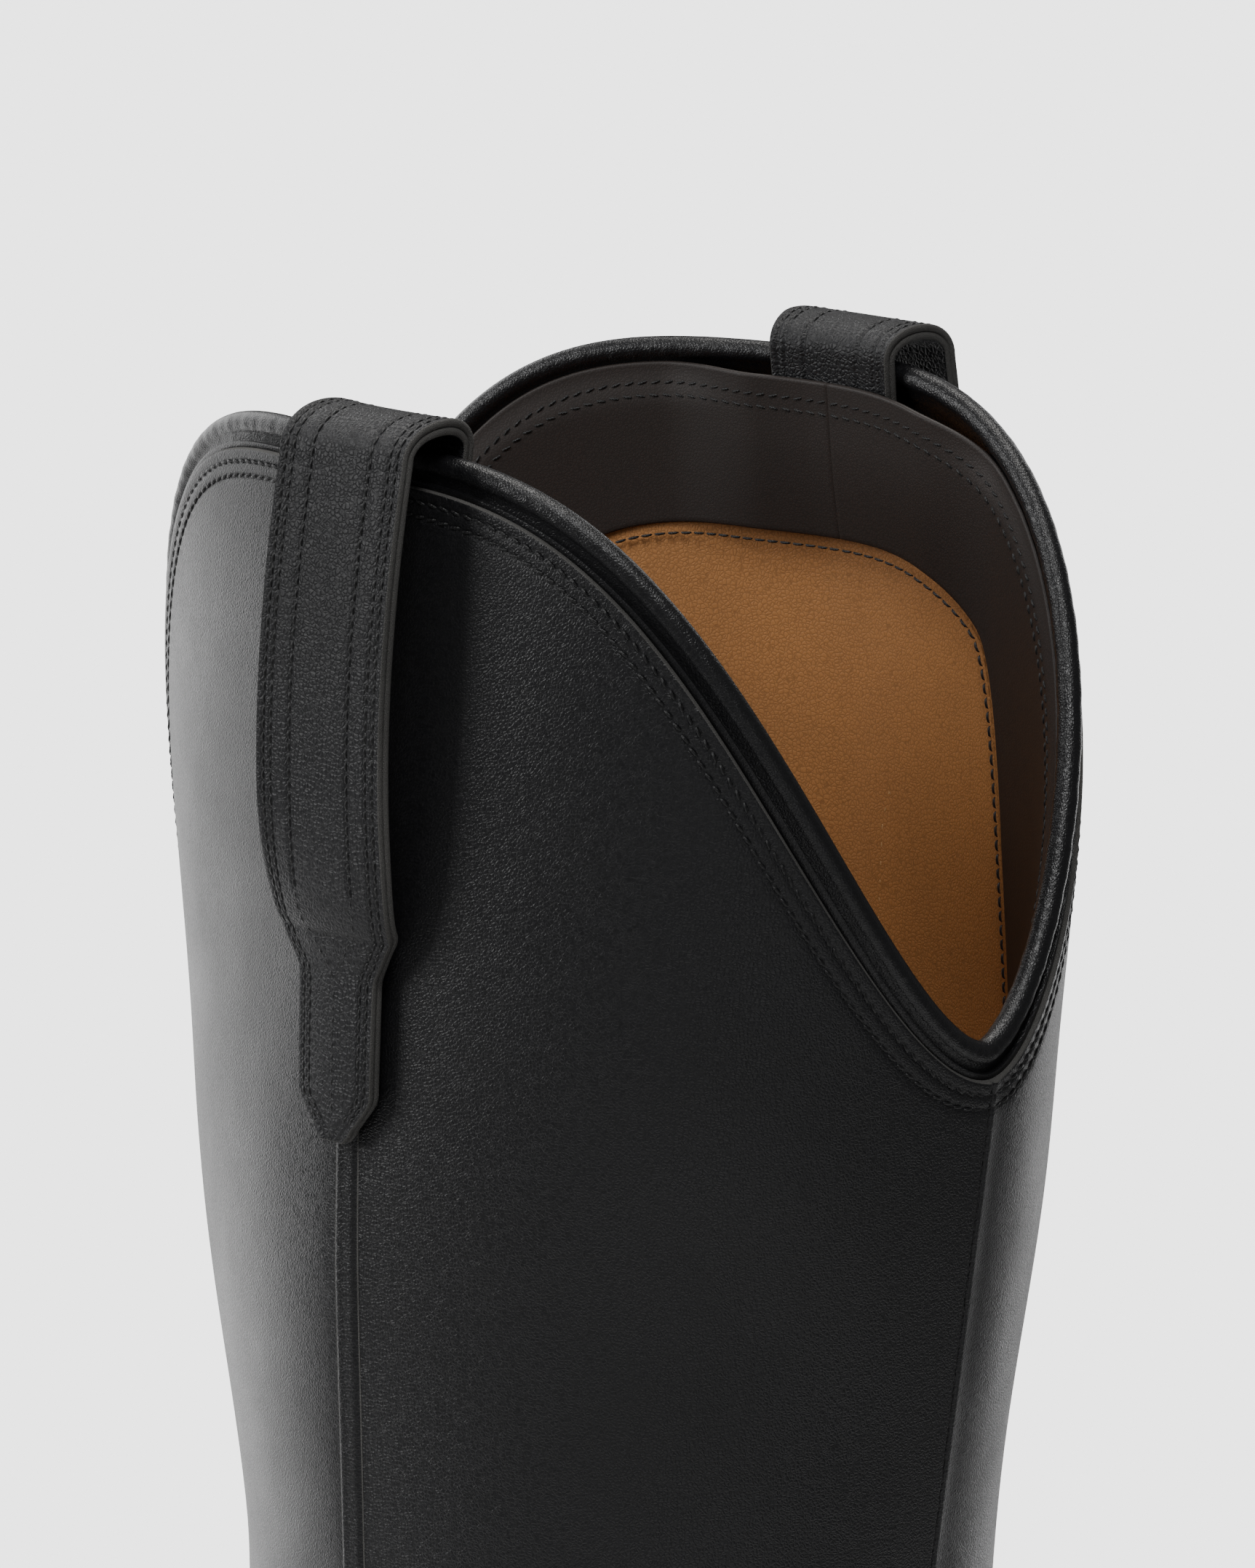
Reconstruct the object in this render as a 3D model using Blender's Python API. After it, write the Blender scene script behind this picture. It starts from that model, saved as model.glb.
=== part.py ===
"""A tall western boot, one of a pair, built from its sewn and lasted pieces.

+X points to the toe, +Y to the boot's left side and +Z up. The origin lies on the floor, under the
middle of the heel, on the flat underside of the rubber top lift. Lengths are in metres.

The upper is one surface, skin(turn, drop). turn goes round the leg: 0 at the front, 90 degrees at the
left side seam, 180 at the back. drop runs down it: 0 at the scalloped top edge, 1 at the ankle, 2 at
the feather edge where the upper meets the sole, and 3 at the inner edge of the lasting margin. Every
leather, lining and stiffener is a patch of that surface with its own depths under it.
"""
import math

import bmesh
import bpy
import numpy as np

MM = 0.001
GAP = 0.3 * MM                       # clearance between neighbouring pieces
SHORTEST = 1e-9                      # keeps divisions by a length away from zero

# Shaft
CREST_HEIGHT = 385 * MM              # floor to the highest point of the top edge, at the side seams
SHAFT_AXIS = 12 * MM                 # shaft axis ahead of the heel's centre
TOP_FRONT = 83.2 * MM                # axis to front of the shaft at crest height
TOP_BACK = 82.6 * MM                 # axis to back of the shaft at crest height
FRONT_TAPER = 0.139                  # how much the front comes in per unit of depth
BACK_TAPER = 0.135
CALF_HALF_WIDTH = 55.5 * MM          # widest half width of the shaft
CALF_DEPTH = 97 * MM                 # its depth below the crest
CALF_TO_TOP = 6 * MM                 # how much narrower the shaft is at the crest
SEAM_SET_BACK = 4.6 * MM             # side seams and straps behind the middle of the shaft's top
SEAM_LEAN = 6 * MM                   # how far the side seam comes forward from ankle to sole
CALF_FULLNESS = 0.20                 # how much wider the back of the section is than its front
ROUNDNESS = 1.67                     # exponent of the section: 2 is an ellipse, 1 a diamond
ROUND_BELOW = 160 * MM               # depth from which the section turns into the ankle's ellipse
FRONT_DIP = 88 * MM                  # depth of the front scallop
BACK_DIP = 81 * MM                   # depth of the back scallop
FRONT_DIP_SHARPNESS = 5.0
BACK_DIP_SHARPNESS = 3.5
TAPER_END = 200 * MM                 # depth at which the straight taper ends

# Ankle, heel and foot
ANKLE_HEIGHT = 150 * MM
ANKLE_BACK = -40.5 * MM
ANKLE_FRONT = 64.5 * MM
ANKLE_HALF_WIDTH = 41.5 * MM
HEEL_BULGE = -46 * MM
HEEL_BULGE_HEIGHT = 74 * MM
HEEL_BACK = -43 * MM                 # feather edge at the back of the heel
TOE_TIP = 250 * MM                   # feather edge at the toe
HEEL_HALF_WIDTH = 31 * MM
WAIST_HALF_WIDTH = 27.5 * MM
BALL_HALF_WIDTH = 45.5 * MM
WAIST_X = 52 * MM
BALL_X = 150 * MM
HEEL_ROUND = 33 * MM                 # length of the rounded heel end of the outline
TOE_TAPER = 108 * MM                 # length of the tapering toe end of the outline
TOE_POINT = 1.58                     # exponent of the toe outline
TOE_SWING = 7 * MM                   # how far the toe swings to the inner side
DOME = 2.25                          # exponent of the foot's upright sections
INSTEP_MID_HEIGHT = 96 * MM          # height of the instep at INSTEP_MID_X
INSTEP_MID_X = 108 * MM
VAMP_HEIGHT = 74 * MM                # height of the vamp over the ball
TOE_BOX_HEIGHT = 44 * MM             # height of the toe box at TOE_BOX_X
TOE_BOX_X = 229 * MM
DOME_RISE = 6 * MM                   # how much higher the foot's dome is inside the leg
DOME_RUN = 10 * MM
TOE_WALL = 8 * MM                    # height of the upright wall round the toe
DOME_SWELL = 0.045                   # how far the foot's sides swell beyond the feather edge
DOME_BLEND = 34 * MM                 # height over which the foot's outline takes in the leg's
ANKLE_SOFTNESS = 6 * MM              # rounding where the foot's dome meets the leg
VAMP_FRONT = 0.96                    # drop of the vamp's tongue
VAMP_SIDE = 1.60                     # drop of the vamp's top edge at the side seams
VAMP_BEND = 1.6                      # how fast the vamp's edge falls beside the tongue
TONGUE_ROUND = 0.06                  # rounding of the tongue's tip
COUNTER_BACK = 1.30                  # drop of the counter's top edge at the back
COUNTER_SIDE = 1.63                  # and at the side seams

# Sole and heel
HEEL_HEIGHT = 38 * MM
HEEL_BREAST = 32 * MM
SEAT_RUN = 8 * MM                    # how far the flat seat runs on past the heel's breast
WAIST_END = 120 * MM                 # where the sole first meets the floor
TREAD_END = 172 * MM                 # where the toe spring begins
TOE_SPRING = 7 * MM
OUTSOLE = 5 * MM
WELT = 3 * MM
WELT_EXTENSION = 4.5 * MM            # sole edge beyond the upper at the forefoot
HEEL_EXTENSION = 2.0 * MM            # and at the heel
INSOLE = 3 * MM
SOCK = 1.2 * MM
MARGIN = 8 * MM                      # lasting margin turned under the insole
SEAT_RING = 9 * MM                   # inner edge of the welt and the rand, inside the feather edge
TOP_LIFT = 6.5 * MM
LIFT_COUNT = 5
HEEL_TAPER = 0.15                    # how much smaller the heel is at the floor
NAIL_RADIUS = 1.1 * MM
NAIL_LENGTH = 11 * MM
NAIL_RECESS = 0.3 * MM               # nail heads lie this far inside the top lift
NAIL_INSET = 8 * MM
NAIL_START = 12 * MM                 # first and last nail behind the heel's breast
NAIL_COUNT = 5
SHANK_LENGTH = 92 * MM
SHANK_WIDTH = 15 * MM
SHANK = 1.2 * MM
CORK_START = 78 * MM
SOCK_ROOM = 2 * MM                   # sock's edge inside the lining
CEMENT = 0.5 * MM                    # cement layer between the pieces of the bottom

# Leathers
LEATHER = 1.4 * MM
STIFFENER = 1.0 * MM
LINING = 1.0 * MM
SIDE_WELT_WIDTH = 3.6 * MM
SIDE_WELT_RISE = 0.8 * MM            # how proud the side welt stands
BEAD_RADIUS = 1.7 * MM
FLANGE = 0.8 * MM
FLANGE_DEPTH = 6 * MM
FACING_DEPTH = 26 * MM               # height of the top facing
FACING_TOP = 3.4 * MM                # its top edge below the bead's centre

# Pull straps
STRAP_WIDTH = 22 * MM
STRAP_TAIL_WIDTH = 15 * MM
STRAP = 2.2 * MM                     # thickness, two layers
STRAP_STEP = 64 * MM                 # depth of the step from loop to tail, below the crest
STRAP_TIP = 93 * MM                  # depth of the pointed tip
STRAP_POINT = 6 * MM                 # length of the point
STRAP_BLUNT = 0.3                    # width of the blunt tip against the tail's width
STRAP_NARROWING = 6 * MM             # length over which the loop narrows to the tail
STRAP_STANDOFF = 5 * MM              # how far the strap bows out from the shaft
STRAP_CLEAR = 1 * MM                 # strap off the side welt at its step, which lets it lift
STRAP_RISE = 2.3 * MM                # loop's underside above the bead
STRAP_END = 12 * MM                  # depth of the inner end behind the facing
STRAP_MARGIN = 0.06                  # turn beside the strap's inner end where the facing clears it
STRAP_FADE = 0.12                    # turn over which the facing comes back to its own depth
BOW_REACH = 1.35                     # length of the strap's bow against the half wave it follows
BOW_SKEW = 0.8                       # below 1 the bow is fullest near the step

MIDDLE = LEATHER + GAP               # depth of the middle layer's outer face
INNER = MIDDLE + STIFFENER + GAP     # depth of the lining's outer face
SEAM_ROOM = 0.5 * MM                 # clearance on each side of the side welt
SEAM_HALF = SIDE_WELT_WIDTH / 2 + SEAM_ROOM
LAP_ROOM = 1.2 * MM                  # clearance between the facing's lower edge and the lining
LINE_STRETCH = 3.0                   # length down the foot against length round it, for seam slopes
BEAD_DEPTH = MIDDLE + GAP + FLANGE / 2   # depth of the bead's centre under the upper's surface
STRAP_DEPTH = BEAD_DEPTH + BEAD_RADIUS + GAP + STRAP / 2   # depth of the strap's inner end
FEATHER = OUTSOLE + WELT + 2 * CEMENT   # feather edge above the sole's underside
INSOLE_TOP = FEATHER + LEATHER + CEMENT + INSOLE
LINING_FOOT = INSOLE_TOP - FEATHER + GAP
FRONT_COLUMNS = 25                   # columns of the front panel, the vamp and their linings
BACK_COLUMNS = 21                    # columns of the back pieces, both quarters together


def ease(value):
    """Smooth step from 0 to 1."""
    value = np.clip(value, 0.0, 1.0)
    return value * value * (3 - 2 * value)


def curve(where, knots, values):
    """Smooth curve through a few points: cubic pieces whose slopes never overshoot."""
    knots, values = np.asarray(knots, float), np.asarray(values, float)
    step = np.diff(knots)
    rise = np.diff(values) / step
    slope = np.empty_like(values)
    slope[0], slope[-1] = rise[0], rise[-1]
    before, after = rise[:-1], rise[1:]
    same = before * after > 0
    safe = np.where(same, before + after, 1.0)
    slope[1:-1] = np.where(same, 2 * before * after / safe, 0.0)
    where = np.clip(where, knots[0], knots[-1])
    cell = np.clip(np.searchsorted(knots, where) - 1, 0, len(step) - 1)
    part = (where - knots[cell]) / step[cell]
    low, high = values[cell], values[cell + 1]
    left, right = slope[cell] * step[cell], slope[cell + 1] * step[cell]
    return (low * (1 + 2 * part) * (1 - part) ** 2 + left * part * (1 - part) ** 2
            + high * part ** 2 * (3 - 2 * part) - right * part ** 2 * (1 - part))


def power(value, exponent):
    """Signed power, which keeps the sign of its value."""
    return np.sign(value) * np.abs(value) ** exponent


def fold(turns):
    """Turns past the back, folded to the range of half a turn each way."""
    return (turns + np.pi) % (2 * np.pi) - np.pi


def sole_height(x):
    """Height of the sole's underside: flat under the heel and ball, rising at waist and toe."""
    start = HEEL_BREAST + SEAT_RUN
    waist = HEEL_HEIGHT * (1 - ease((x - start) / (WAIST_END - start)))
    spring = np.clip((x - TREAD_END) / (TOE_TIP - TREAD_END), 0, None) ** 1.6 * TOE_SPRING
    return waist + spring


def feather_half_width(x):
    """Half width of the foot's outline: a round heel, a narrow waist, a wide ball, a pointed toe."""
    width = curve(x, [HEEL_BACK + HEEL_ROUND, WAIST_X, BALL_X],
                  [HEEL_HALF_WIDTH, WAIST_HALF_WIDTH, BALL_HALF_WIDTH])
    heel = np.clip(1 - (x - HEEL_BACK) / HEEL_ROUND, 0, 1)
    toe = np.clip(1 - (TOE_TIP - x) / TOE_TAPER, 0, 1)
    return width * np.sqrt(1 - heel ** 2) * (1 - toe ** TOE_POINT) ** (1 / TOE_POINT)


def centre_line(x):
    """Sideways place of the foot's middle: straight at the heel, swinging to the inner side."""
    return TOE_SWING * np.clip((x - WAIST_X) / (TOE_TIP - WAIST_X), 0, 1) ** 1.5


def top_depth(turn):
    """Depth of the scalloped top edge below the crest."""
    lean = np.cos(turn)
    sharpness = np.where(lean > 0, FRONT_DIP_SHARPNESS, BACK_DIP_SHARPNESS)
    return np.where(lean > 0, FRONT_DIP, BACK_DIP) * np.abs(lean) ** sharpness


def back_line(z):
    """Side view of the back: x at height z."""
    taper = SHAFT_AXIS - TOP_BACK
    low = CREST_HEIGHT - TAPER_END
    return curve(z, [sole_height(HEEL_BACK) + FEATHER, HEEL_BULGE_HEIGHT, ANKLE_HEIGHT * 0.8, ANKLE_HEIGHT,
                     low, CREST_HEIGHT, CREST_HEIGHT + 20 * MM],
                 [HEEL_BACK, HEEL_BULGE, ANKLE_BACK - 0.5 * MM, ANKLE_BACK,
                  taper + BACK_TAPER * TAPER_END, taper, taper - BACK_TAPER * 20 * MM])


def front_line(z):
    """Side view of the shaft's front, which runs on down inside the foot."""
    taper = SHAFT_AXIS + TOP_FRONT
    low = CREST_HEIGHT - TAPER_END
    leg = curve(z, [ANKLE_HEIGHT, low, CREST_HEIGHT, CREST_HEIGHT + 20 * MM],
                [ANKLE_FRONT, taper - FRONT_TAPER * TAPER_END, taper, taper + FRONT_TAPER * 20 * MM])
    instep = np.interp(np.maximum(z, INSTEP_MID_HEIGHT), RIDGE_Z[::-1], RIDGE_X[::-1])
    return np.where(z > ANKLE_HEIGHT, leg, instep)


def column_half_width(z):
    """Half width of leg and heel at height z."""
    calf = CREST_HEIGHT - CALF_DEPTH
    bulge = CALF_HALF_WIDTH - CALF_TO_TOP * ((z - calf) / CALF_DEPTH) ** 2
    low = CREST_HEIGHT - TAPER_END
    at_low = CALF_HALF_WIDTH - CALF_TO_TOP * ((low - calf) / CALF_DEPTH) ** 2
    ankle = curve(z, [HEEL_HEIGHT, HEEL_BULGE_HEIGHT, ANKLE_HEIGHT, low, low + 30 * MM],
                  [HEEL_HALF_WIDTH, HEEL_HALF_WIDTH + 2.5 * MM, ANKLE_HALF_WIDTH, at_low, at_low + 4 * MM])
    return np.where(z > low, bulge, ankle)


def fullness(z):
    """How much wider the back of the section is: full at the calf, nothing below the ankle."""
    start = CREST_HEIGHT - ROUND_BELOW
    return CALF_FULLNESS * (1 - ease((start - z) / (start - ANKLE_HEIGHT)))


def section_exponent(z):
    """Exponent of the leg's section: a rounded diamond at the calf, an ellipse at the ankle."""
    start = CREST_HEIGHT - ROUND_BELOW
    return ROUNDNESS + (2 - ROUNDNESS) * ease((start - z) / (start - ANKLE_HEIGHT))


def column_point(turn, z):
    """Point of the leg's surface at a turn and a height."""
    back, front = back_line(z), front_line(z)
    exponent = section_exponent(z)
    along = power(np.cos(turn), 2 / exponent)
    across = power(np.sin(turn), 2 / exponent)
    x = (back + front) / 2 + (front - back) / 2 * along
    y = column_half_width(z) * across * (1 - fullness(z) * along)
    return np.stack([x, y, z + 0 * x], -1)


def ridge():
    """Side view of the instep, from the ankle's front to the toe tip, as a fine polyline."""
    low = sole_height(TOE_TIP) + FEATHER
    places = [(0.00, ANKLE_FRONT, ANKLE_HEIGHT),
              (0.07, ANKLE_FRONT + 3 * MM, ANKLE_HEIGHT - 13 * MM),
              (0.16, ANKLE_FRONT + 13 * MM, ANKLE_HEIGHT - 30 * MM),
              (0.32, INSTEP_MID_X, INSTEP_MID_HEIGHT),
              (0.50, BALL_X, VAMP_HEIGHT),
              (0.74, TOE_BOX_X, TOE_BOX_HEIGHT),
              (0.85, TOE_TIP - 4 * MM, low + 2 * TOE_WALL),
              (0.93, TOE_TIP - 0.3 * MM, low + TOE_WALL),
              (1.00, TOE_TIP, low)]
    share, x, z = zip(*places)
    steps = np.linspace(0, 1, 401)
    return curve(steps, share, x), curve(steps, share, z)


RIDGE_X, RIDGE_Z = ridge()


def foot_half_width(x, z):
    """Half width of heel and foot: a domed foot, joined smoothly to the column of the leg."""
    feather = sole_height(x) + FEATHER
    behind = np.clip(INSTEP_MID_X - x, 0, None)
    top = np.interp(np.maximum(x, INSTEP_MID_X), RIDGE_X, RIDGE_Z)
    top = top + DOME_RISE * (1 - np.exp(-behind / DOME_RUN))
    share = np.clip((z - feather) / np.maximum(top - feather, 1e-6), 0, 1)
    dome = (1 - share ** DOME) ** (1 / DOME)
    bulge = 1 + DOME_SWELL * np.sin(np.pi * np.clip(share / 0.6, 0, 1))
    shift = (back_line(z) - HEEL_BACK) * (1 - ease((x - HEEL_BACK) / (60 * MM)))
    foot = feather_half_width(x - shift) * dome * bulge
    back, front = back_line(z), front_line(z)
    along = np.clip((x - (back + front) / 2) / ((front - back) / 2), -1, 1)
    leg = np.sqrt(1 - along ** 2) * (1 - fullness(z) * along)
    leg = column_half_width(z) * leg
    overlap = np.clip(1 - np.abs(foot - leg) / ANKLE_SOFTNESS, 0, None)
    both = np.maximum(foot, leg) + overlap ** 2 * ANKLE_SOFTNESS / 4
    return foot + (both - foot) * ease((z - feather) / DOME_BLEND)


def foot_point(turn, drop):
    """Point of the foot's surface: rings that tilt from the ankle down to the feather edge."""
    reach = drop - 1
    tip = np.interp(reach, np.linspace(0, 1, len(RIDGE_X)), RIDGE_X)
    tip_z = np.interp(reach, np.linspace(0, 1, len(RIDGE_Z)), RIDGE_Z)
    heel_z = ANKLE_HEIGHT + (sole_height(HEEL_BACK) + FEATHER - ANKLE_HEIGHT) * reach
    heel = back_line(heel_z)
    along = np.cos(turn)
    x = (heel + tip) / 2 + (tip - heel) / 2 * along
    share = (1 + along) / 2
    straight = heel_z + (tip_z - heel_z) * share
    sole_heel, sole_tip = sole_height(heel) + FEATHER, sole_height(tip) + FEATHER
    curved = sole_height(x) + FEATHER + (heel_z - sole_heel) * (1 - share) + (tip_z - sole_tip) * share
    z = straight + (curved - straight) * reach ** 2
    y = foot_half_width(x, z) * np.sign(np.sin(turn))
    y = np.where(np.abs(np.sin(turn)) < 1e-9, 0, y)
    return np.stack([x, y + centre_line(x), z], -1)


def inset(points, distance):
    """Points of an outline moved inwards, towards the foot's middle line."""
    middle = np.clip(points[..., 0], HEEL_BACK + 28 * MM, TOE_TIP - 42 * MM)
    inward = np.stack([middle - points[..., 0], centre_line(middle) - points[..., 1]], -1)
    inward = inward / np.maximum(np.linalg.norm(inward, axis=-1, keepdims=True), SHORTEST)
    return points[..., :2] + inward * distance


def skin(turn, drop):
    """The upper's outer surface."""
    turn, drop = np.broadcast_arrays(np.asarray(turn, float), np.asarray(drop, float))
    top = CREST_HEIGHT - top_depth(turn)
    shaft = column_point(turn, top + (ANKLE_HEIGHT - top) * np.clip(drop, None, 1))
    foot = foot_point(turn, np.clip(drop, 1, 2))
    edge = inset(foot, MARGIN * np.clip(drop - 2, 0, 1)[..., None])
    under = np.concatenate([edge, (sole_height(edge[..., 0]) + FEATHER)[..., None]], -1)
    choice = drop[..., None]
    return np.where(choice <= 1, shaft, np.where(choice <= 2, foot, under))


def outward(turn, drop):
    """Unit normals of the upper's surface, from its slopes."""
    turn, drop = np.broadcast_arrays(np.asarray(turn, float), np.asarray(drop, float))
    round_step, down_step = 0.01, 0.01
    round_slope = skin(turn + round_step, drop) - skin(turn - round_step, drop)
    down_slope = skin(turn, drop + down_step) - skin(turn, np.maximum(drop - down_step, 0))
    normal = np.cross(down_slope, round_slope)
    return normal / np.linalg.norm(normal, axis=-1, keepdims=True)


def drop_below_top(turn, depth):
    """Drop value at a depth below the top edge."""
    return depth / (CREST_HEIGHT - top_depth(turn) - ANKLE_HEIGHT)


def drop_at_height(turn, above_feather):
    """Drop value in the foot at a height above the feather edge."""
    drops = np.linspace(1, 2, 201)[:, None]
    points = skin(np.asarray(turn)[None, :], drops)
    clear = points[..., 2] - sole_height(points[..., 0]) - FEATHER
    return np.array([np.interp(-above_feather, -clear[:, i], drops[:, 0]) for i in range(clear.shape[1])])


SHAFT_SEAM = math.pi / 2 + math.asin((SEAM_SET_BACK / TOP_FRONT) ** (ROUNDNESS / 2))


def seam_turn(drop):
    """Turn of the side seam: the same all down the shaft, then straight down to the heel's breast."""
    reach = np.clip(np.asarray(drop, float) - 1, 0, 1)
    tip = np.interp(reach, np.linspace(0, 1, len(RIDGE_X)), RIDGE_X)
    heel = back_line(ANKLE_HEIGHT + (sole_height(HEEL_BACK) + FEATHER - ANKLE_HEIGHT) * reach)
    ankle = (ANKLE_BACK + ANKLE_FRONT) / 2
    behind = (ANKLE_FRONT - ANKLE_BACK) / 2 * math.cos(SHAFT_SEAM) * (1 - reach)
    return np.arccos((ankle + behind + SEAM_LEAN * reach - (heel + tip) / 2) / ((tip - heel) / 2))


def turn_step(turn, drop, length):
    """Change of turn that moves a point by a length round the surface."""
    small = 0.02
    span = np.linalg.norm(skin(turn + small, drop) - skin(turn - small, drop), axis=-1)
    return length * 2 * small / np.maximum(span, 1e-6)


def vamp_line(turn):
    """Drop of the vamp's top edge: a rounded tongue in front, low at the side seams."""
    share = np.clip(np.abs(fold(turn)) / seam_turn(VAMP_SIDE), 0, 1)
    rounded = share ** 2 / (share + TONGUE_ROUND)
    return VAMP_FRONT + (VAMP_SIDE - VAMP_FRONT) * (1 - (1 - rounded) ** VAMP_BEND)


def counter_line(turn):
    """Drop of the heel counter's top edge: highest at the back."""
    share = np.clip((np.pi - np.abs(fold(turn))) / (np.pi - seam_turn(VAMP_SIDE)), 0, 1)
    return COUNTER_BACK + (COUNTER_SIDE - COUNTER_BACK) * ease(share)


def material(name, colour, roughness, metallic=0.0):
    """Plain surface of one colour."""
    made = bpy.data.materials.new(name)
    made.use_nodes = True
    shader = made.node_tree.nodes["Principled BSDF"]
    shader.inputs["Base Color"].default_value = (*colour, 1.0)
    shader.inputs["Roughness"].default_value = roughness
    shader.inputs["Metallic"].default_value = metallic
    return made


def solid(name, points, faces, surface):
    """Object from points and faces, with its faces turned outwards."""
    mesh = bpy.data.meshes.new(name)
    mesh.from_pydata([tuple(point) for point in np.asarray(points, float)], [], faces)
    shape = bmesh.new()
    shape.from_mesh(mesh)
    bmesh.ops.recalc_face_normals(shape, faces=shape.faces)
    shape.to_mesh(mesh)
    shape.free()
    mesh.shade_smooth()
    mesh.set_sharp_from_angle(angle=math.radians(40))
    made = bpy.data.objects.new(name, mesh)
    made.data.materials.append(surface)
    bpy.context.collection.objects.link(made)
    return made


def slab(name, outer, inner, surface):
    """Closed solid between two matching grids of points, with the same diagonals on both faces."""
    rows, columns = outer.shape[:2]
    points = np.concatenate([outer.reshape(-1, 3), inner.reshape(-1, 3)])

    def spot(row, column, side):
        return side * rows * columns + row * columns + column

    faces = []
    for column in range(columns - 1):
        for row in range(rows - 1):
            for side in (0, 1):
                near, low = spot(row, column, side), spot(row + 1, column, side)
                far, end = spot(row, column + 1, side), spot(row + 1, column + 1, side)
                faces += [[near, far, end], [near, end, low]]
        for row in (0, rows - 1):
            faces.append([spot(row, column, 0), spot(row, column + 1, 0),
                          spot(row, column + 1, 1), spot(row, column, 1)])
    for row in range(rows - 1):
        for column in (0, columns - 1):
            faces.append([spot(row, column, 0), spot(row + 1, column, 0),
                          spot(row + 1, column, 1), spot(row, column, 1)])
    return solid(name, points, faces, surface)


def patch(name, turns, drops, depths, surface):
    """Leather piece over a grid of turns and drops, between two depths under the upper's surface."""
    turns, drops = np.broadcast_arrays(turns, drops)
    points, normals = skin(turns, drops), outward(turns, drops)
    outer = points - normals * np.asarray(depths[0])[..., None]
    inner = points - normals * np.asarray(depths[1])[..., None]
    return slab(name, outer, inner, surface)


def grid(first, last, columns, top, bottom, rows, crowd=0.0):
    """Grid of turns and drops: turns run between two seams, drops between two lines.

    crowd, from 0 to 1, gathers the rows towards the bottom.
    """
    share = np.linspace(0, 1, columns)[None, :]
    steps = np.linspace(0, 1, rows)[:, None]
    steps = steps * (1 + crowd - crowd * steps)
    drops = np.zeros((rows, columns)) + steps
    for _ in range(3):
        turns = first(drops) + (last(drops) - first(drops)) * share
        drops = top(turns) + (bottom(turns) - top(turns)) * steps
    return turns, drops


def seam_edge(side, toward_back):
    """Edge of a panel beside the side seam on one side, clear of the side welt."""
    def edge(drop):
        seam = seam_turn(drop)
        shift = turn_step(seam, drop, SEAM_HALF)
        return side * (seam + shift if toward_back else seam - shift)
    return edge


def back_edge(side):
    """Edge of a panel beside the back seam."""
    def edge(drop):
        return side * (np.pi - turn_step(np.pi + 0 * drop, drop, GAP / 2))
    return edge


def level(value):
    """Line of constant drop."""
    return lambda turns: value + 0 * turns


def clear_above(line):
    """Line just above another, clear of the piece below it, also where the line is steep."""
    def at(turns):
        steepness = (line(turns + 0.01) - line(turns - 0.01)) / 0.02 * LINE_STRETCH
        return line(turns) - drop_below_top(turns, SEAM_ROOM) * np.sqrt(1 + steepness ** 2)
    return at


def panel_top(turns):
    """Drop of the shaft leather's cut edge, just under the bead."""
    return drop_below_top(turns, BEAD_RADIUS + GAP)


def facing_low(turns):
    """Drop of the facing's lower edge."""
    return drop_below_top(turns, FACING_TOP + FACING_DEPTH)


def shaft_grids(first, last, columns, bottom):
    """Two grids of a shaft panel: down to the facing's lower edge, and from there to its bottom edge."""
    high = grid(first, last, columns, panel_top, facing_low, 3)
    below = lambda turns: facing_low(turns) + drop_below_top(turns, LAP_ROOM)
    low = grid(first, last, columns, below, bottom, 9, 0.4)
    return high, low


def joined(high, low):
    """One grid from an upper and a lower one, without the lower one's first row."""
    return tuple(np.concatenate([top, bottom[1:]]) for top, bottom in zip(high, low))


def shaft_panels(black, tan):
    """One-piece front panel and two back quarters, and the linings behind them."""
    depths = (0.0, LEATHER)
    lining = (INNER, INNER + LINING)
    front = shaft_grids(seam_edge(-1, False), seam_edge(1, False), FRONT_COLUMNS, clear_above(vamp_line))
    patch("shaft_front", *joined(*front), depths, black)
    patch("lining_front", *front[1], lining, tan)
    for side, name in ((1, "left"), (-1, "right")):
        quarter = shaft_grids(seam_edge(side, True), back_edge(side), BACK_COLUMNS // 2 + 1,
                              clear_above(counter_line))
        patch("shaft_back_" + name, *joined(*quarter), depths, black)
    back = shaft_grids(seam_edge(1, True), turned(seam_edge(-1, True)), BACK_COLUMNS,
                       clear_above(counter_line))
    patch("lining_back", *back[1], lining, tan)


def side_welts(black):
    """Raised strips that cover the side seams."""
    for side, name in ((1, "left"), (-1, "right")):
        def edge(way):
            def at(drop):
                seam = seam_turn(drop)
                return side * (seam + way * turn_step(seam, drop, SIDE_WELT_WIDTH / 2))
            return at
        patch("side_welt_" + name, *grid(edge(-1), edge(1), 4, panel_top, level(1.99), 28),
              (-SIDE_WELT_RISE, LEATHER), black)


def foot_leathers(black, tan, board):
    """Vamp and heel counter cover, with the stiffeners and linings nested behind them."""
    lining = (INNER, INNER + LINING)
    stiff = (MIDDLE, MIDDLE + STIFFENER)
    vamp = grid(seam_edge(-1, False), seam_edge(1, False), FRONT_COLUMNS, vamp_line, foot_line, 10)
    heel = grid(seam_edge(1, True), turned(seam_edge(-1, True)), BACK_COLUMNS, counter_line, foot_line, 7)
    patch("vamp", *lasted(vamp), (0.0, LEATHER), black)
    patch("heel_counter_cover", *lasted(heel), (0.0, LEATHER), black)
    patch("vamp_lining", *vamp, lining, tan)
    patch("heel_lining", *heel, lining, tan)
    middle = FRONT_COLUMNS // 2
    toe = tuple(part[5:, middle - 5:middle + 6] for part in vamp)
    patch("toe_puff", *toe, stiff, board)
    cup = tuple(part[1:, 2:-2] for part in heel)
    patch("heel_stiffener", *cup, stiff, board)


def foot_line(turns):
    """Drop at which stiffeners and linings end, just above the insole."""
    return drop_at_height(fold(turns.reshape(-1)), LINING_FOOT).reshape(turns.shape)


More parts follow.
